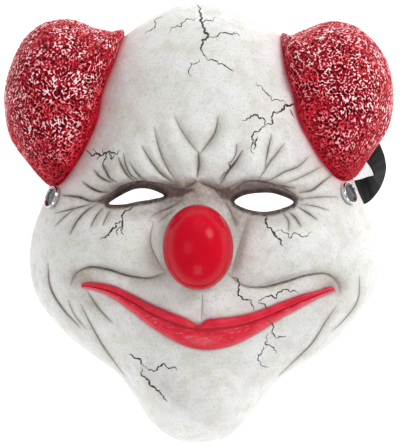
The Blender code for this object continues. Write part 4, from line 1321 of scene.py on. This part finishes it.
def build_lines(name, lines, trees):
    """Painted lines, each a thin ridge just proud of the skin: points, half widths, darkness."""
    bm = bmesh.new()
    tones = []
    for line, half, dark in lines:
        ahead = unit(np.gradient(line, axis=0))
        fade = np.sin(math.pi * np.linspace(0.02, 0.98, len(line))) ** 0.5
        before = None
        for (x, y), (dx, dy), reach, strength in zip(line, ahead, half, dark * fade):
            corners = []
            for offset in (-1.0, 0.0, 1.0):
                px, py = x - dy * reach * offset, y + dx * reach * offset
                z = max(float(skin_heights(tree, px, py)) for tree in trees)
                corners.append((px, py, z + LINE_PROUD * (2 - abs(offset))))
            corners.append((x, y, corners[1][2] - LINE_DEEP))
            ring = [bm.verts.new(corner) for corner in corners]
            tones += [strength] * len(ring)
            if before:
                for k in range(4):
                    bm.faces.new((before[k], before[(k + 1) % 4], ring[(k + 1) % 4], ring[k]))
            else:
                bm.faces.new(ring)
            before = ring
        bm.faces.new(before)
    bmesh.ops.recalc_face_normals(bm, faces=bm.faces)
    mesh = bpy.data.meshes.new(name)
    bm.to_mesh(mesh)
    bm.free()
    obj = added(name, mesh)
    paint(obj, "dark", np.array(tones))
    return obj


def crack_lines():
    """The cracks, uneven in width."""
    rng = np.random.default_rng(5)
    lines = []
    for width, route in CRACKS:
        line = crack_points(route, rng)
        at = np.linspace(0.0, 1.0, len(line))
        half = width * CRACK_HALF * (0.25 + 0.75 * np.sin(math.pi * at) ** 0.6)
        lines.append((line, half * rng.uniform(*CRACK_UNEVEN, len(line)), 1.0))
    return lines


def wrinkle_lines():
    """The dark lines at the bottom of the wrinkles, thin at their ends."""
    lines = []
    for _, width, dark, route in WRINKLES:
        line = wrinkle_points(route)
        at = np.linspace(0.0, 1.0, len(line))
        half = width * WRINKLE_HALF * (0.3 + 0.7 * np.sin(math.pi * at) ** 0.7)
        lines.append((line, half, dark ** 0.6))
    return lines


# Studio

def build_floor():
    """The light table that the mask lies on."""
    mesh = bpy.data.meshes.new("studio_floor")
    half = FLOOR_SIZE / 2
    mesh.from_pydata([(-half, -half, 0), (half, -half, 0), (half, half, 0), (-half, half, 0)], [],
                     [(0, 1, 2, 3)])
    floor = added("studio_floor", mesh)
    floor.location.z = -FLOOR_DROP
    look = Look("studio_floor", 0.9)
    look.shader.inputs["Emission Color"].default_value = (1.0, 1.0, 1.0, 1.0)
    look.shader.inputs["Emission Strength"].default_value = FLOOR_GLOW
    mesh.materials.append(look.finish(FLOOR_COLOUR))


def build_lights():
    """Soft boxes and a pale sky."""
    world = bpy.data.worlds.new("studio")
    world.use_nodes = True
    world.node_tree.nodes["Background"].inputs["Color"].default_value = (1.0, 1.0, 1.0, 1.0)
    world.node_tree.nodes["Background"].inputs["Strength"].default_value = WORLD_STRENGTH
    bpy.context.scene.world = world
    for name, direction, distance, size, power in LIGHTS:
        light = bpy.data.lights.new(name, "AREA")
        light.energy = power
        light.size = size
        lamp = added(name, light)
        lamp.location = Vector(direction).normalized() * distance
        lamp.rotation_euler = (-lamp.location).to_track_quat("-Z", "Y").to_euler()


def build_camera():
    """The camera over the mask, at the photograph's angle."""
    camera = bpy.data.cameras.new("camera")
    camera.sensor_fit = "HORIZONTAL"
    camera.sensor_width = SENSOR
    camera.lens = SENSOR * CAMERA_DISTANCE / VIEW_WIDTH
    back = Vector((math.sin(CAMERA_YAW), 0.0, math.cos(CAMERA_YAW)))
    level = Vector((math.cos(CAMERA_YAW), 0.0, -math.sin(CAMERA_YAW)))
    north = Vector((0.0, 1.0, 0.0))
    right = level * math.cos(CAMERA_ROLL) - north * math.sin(CAMERA_ROLL)
    up = level * math.sin(CAMERA_ROLL) + north * math.cos(CAMERA_ROLL)
    turn = Matrix((right, up, back)).transposed().to_4x4()
    obj = added("camera", camera)
    obj.matrix_world = Matrix.Translation(CAMERA_TARGET + back * CAMERA_DISTANCE) @ turn
    bpy.context.scene.camera = obj


def main():
    """Dress the part and light it."""
    outer, inner = outer_skin(), inner_skin()
    outside, inside = skin_tree(outer), skin_tree(inner)
    skin, cutters = build_face(outer, inner)
    frames = [rivet_frame(place, outside) for place in RIVET_PLACES]
    reaches = [WALL + seat(inside, point - axis * WALL, -axis, STRAP_WIDTH * 0.6)
               for point, axis in frames]
    depths = [reach + GAP + STRAP_THICKNESS / 2 for reach in reaches]
    strap = build_strap(frames, depths, inside)
    chrome = rivet_metal()
    for name, frame, depth in zip(("left", "right"), frames, depths):
        cap_foot = GAP + seat(outside, *frame, RIVET_DIAMETER / 2)
        head_top = -depth - STRAP_THICKNESS / 2 - GAP
        rivet, cutter = build_rivet(f"rivet_cap_{name}", frame, (cap_foot, head_top))
        shaded(rivet)
        dress(rivet, chrome, "rivet_chrome", f"rivet_{name}")
        cutters.append(cutter)
    cut_away(skin, cutters)
    paint_face(skin)
    shaded(skin)
    shaded(strap)
    dress(skin, face_paint(), "face_white", "face_shell")
    dress(strap, strap_weave(), "strap_black", "strap")
    nose = build_nose(outside)
    dress(nose, nose_paint(), "nose_red", "nose")
    lips = build_lips(outside)
    dress(lips, lip_paint(), "lip_red", "lips")
    red = hair_paint()
    for name, side in (("left", -1), ("right", 1)):
        puff = build_puff(f"hair_curls_{name}", side, outside)
        dress(puff, red, "hair_red", f"hair_puff_{name}")
    lips_tree = BVHTree.FromObject(lips, bpy.context.evaluated_depsgraph_get())
    cracks = build_lines("crack_lines", crack_lines(), (outside, lips_tree))
    dress(cracks, line_paint("crack_dark", (0.012, 0.009, 0.008), (0.20, 0.17, 0.15)), "face_white")
    wrinkles = build_lines("wrinkle_lines", wrinkle_lines(), (outside,))
    dress(wrinkles, line_paint("wrinkle_brown", (0.042, 0.019, 0.013), (0.50, 0.44, 0.38)), "face_white")
    build_floor()
    build_lights()
    build_camera()
    bpy.context.scene.view_settings.view_transform = "Standard"


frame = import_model()
main()
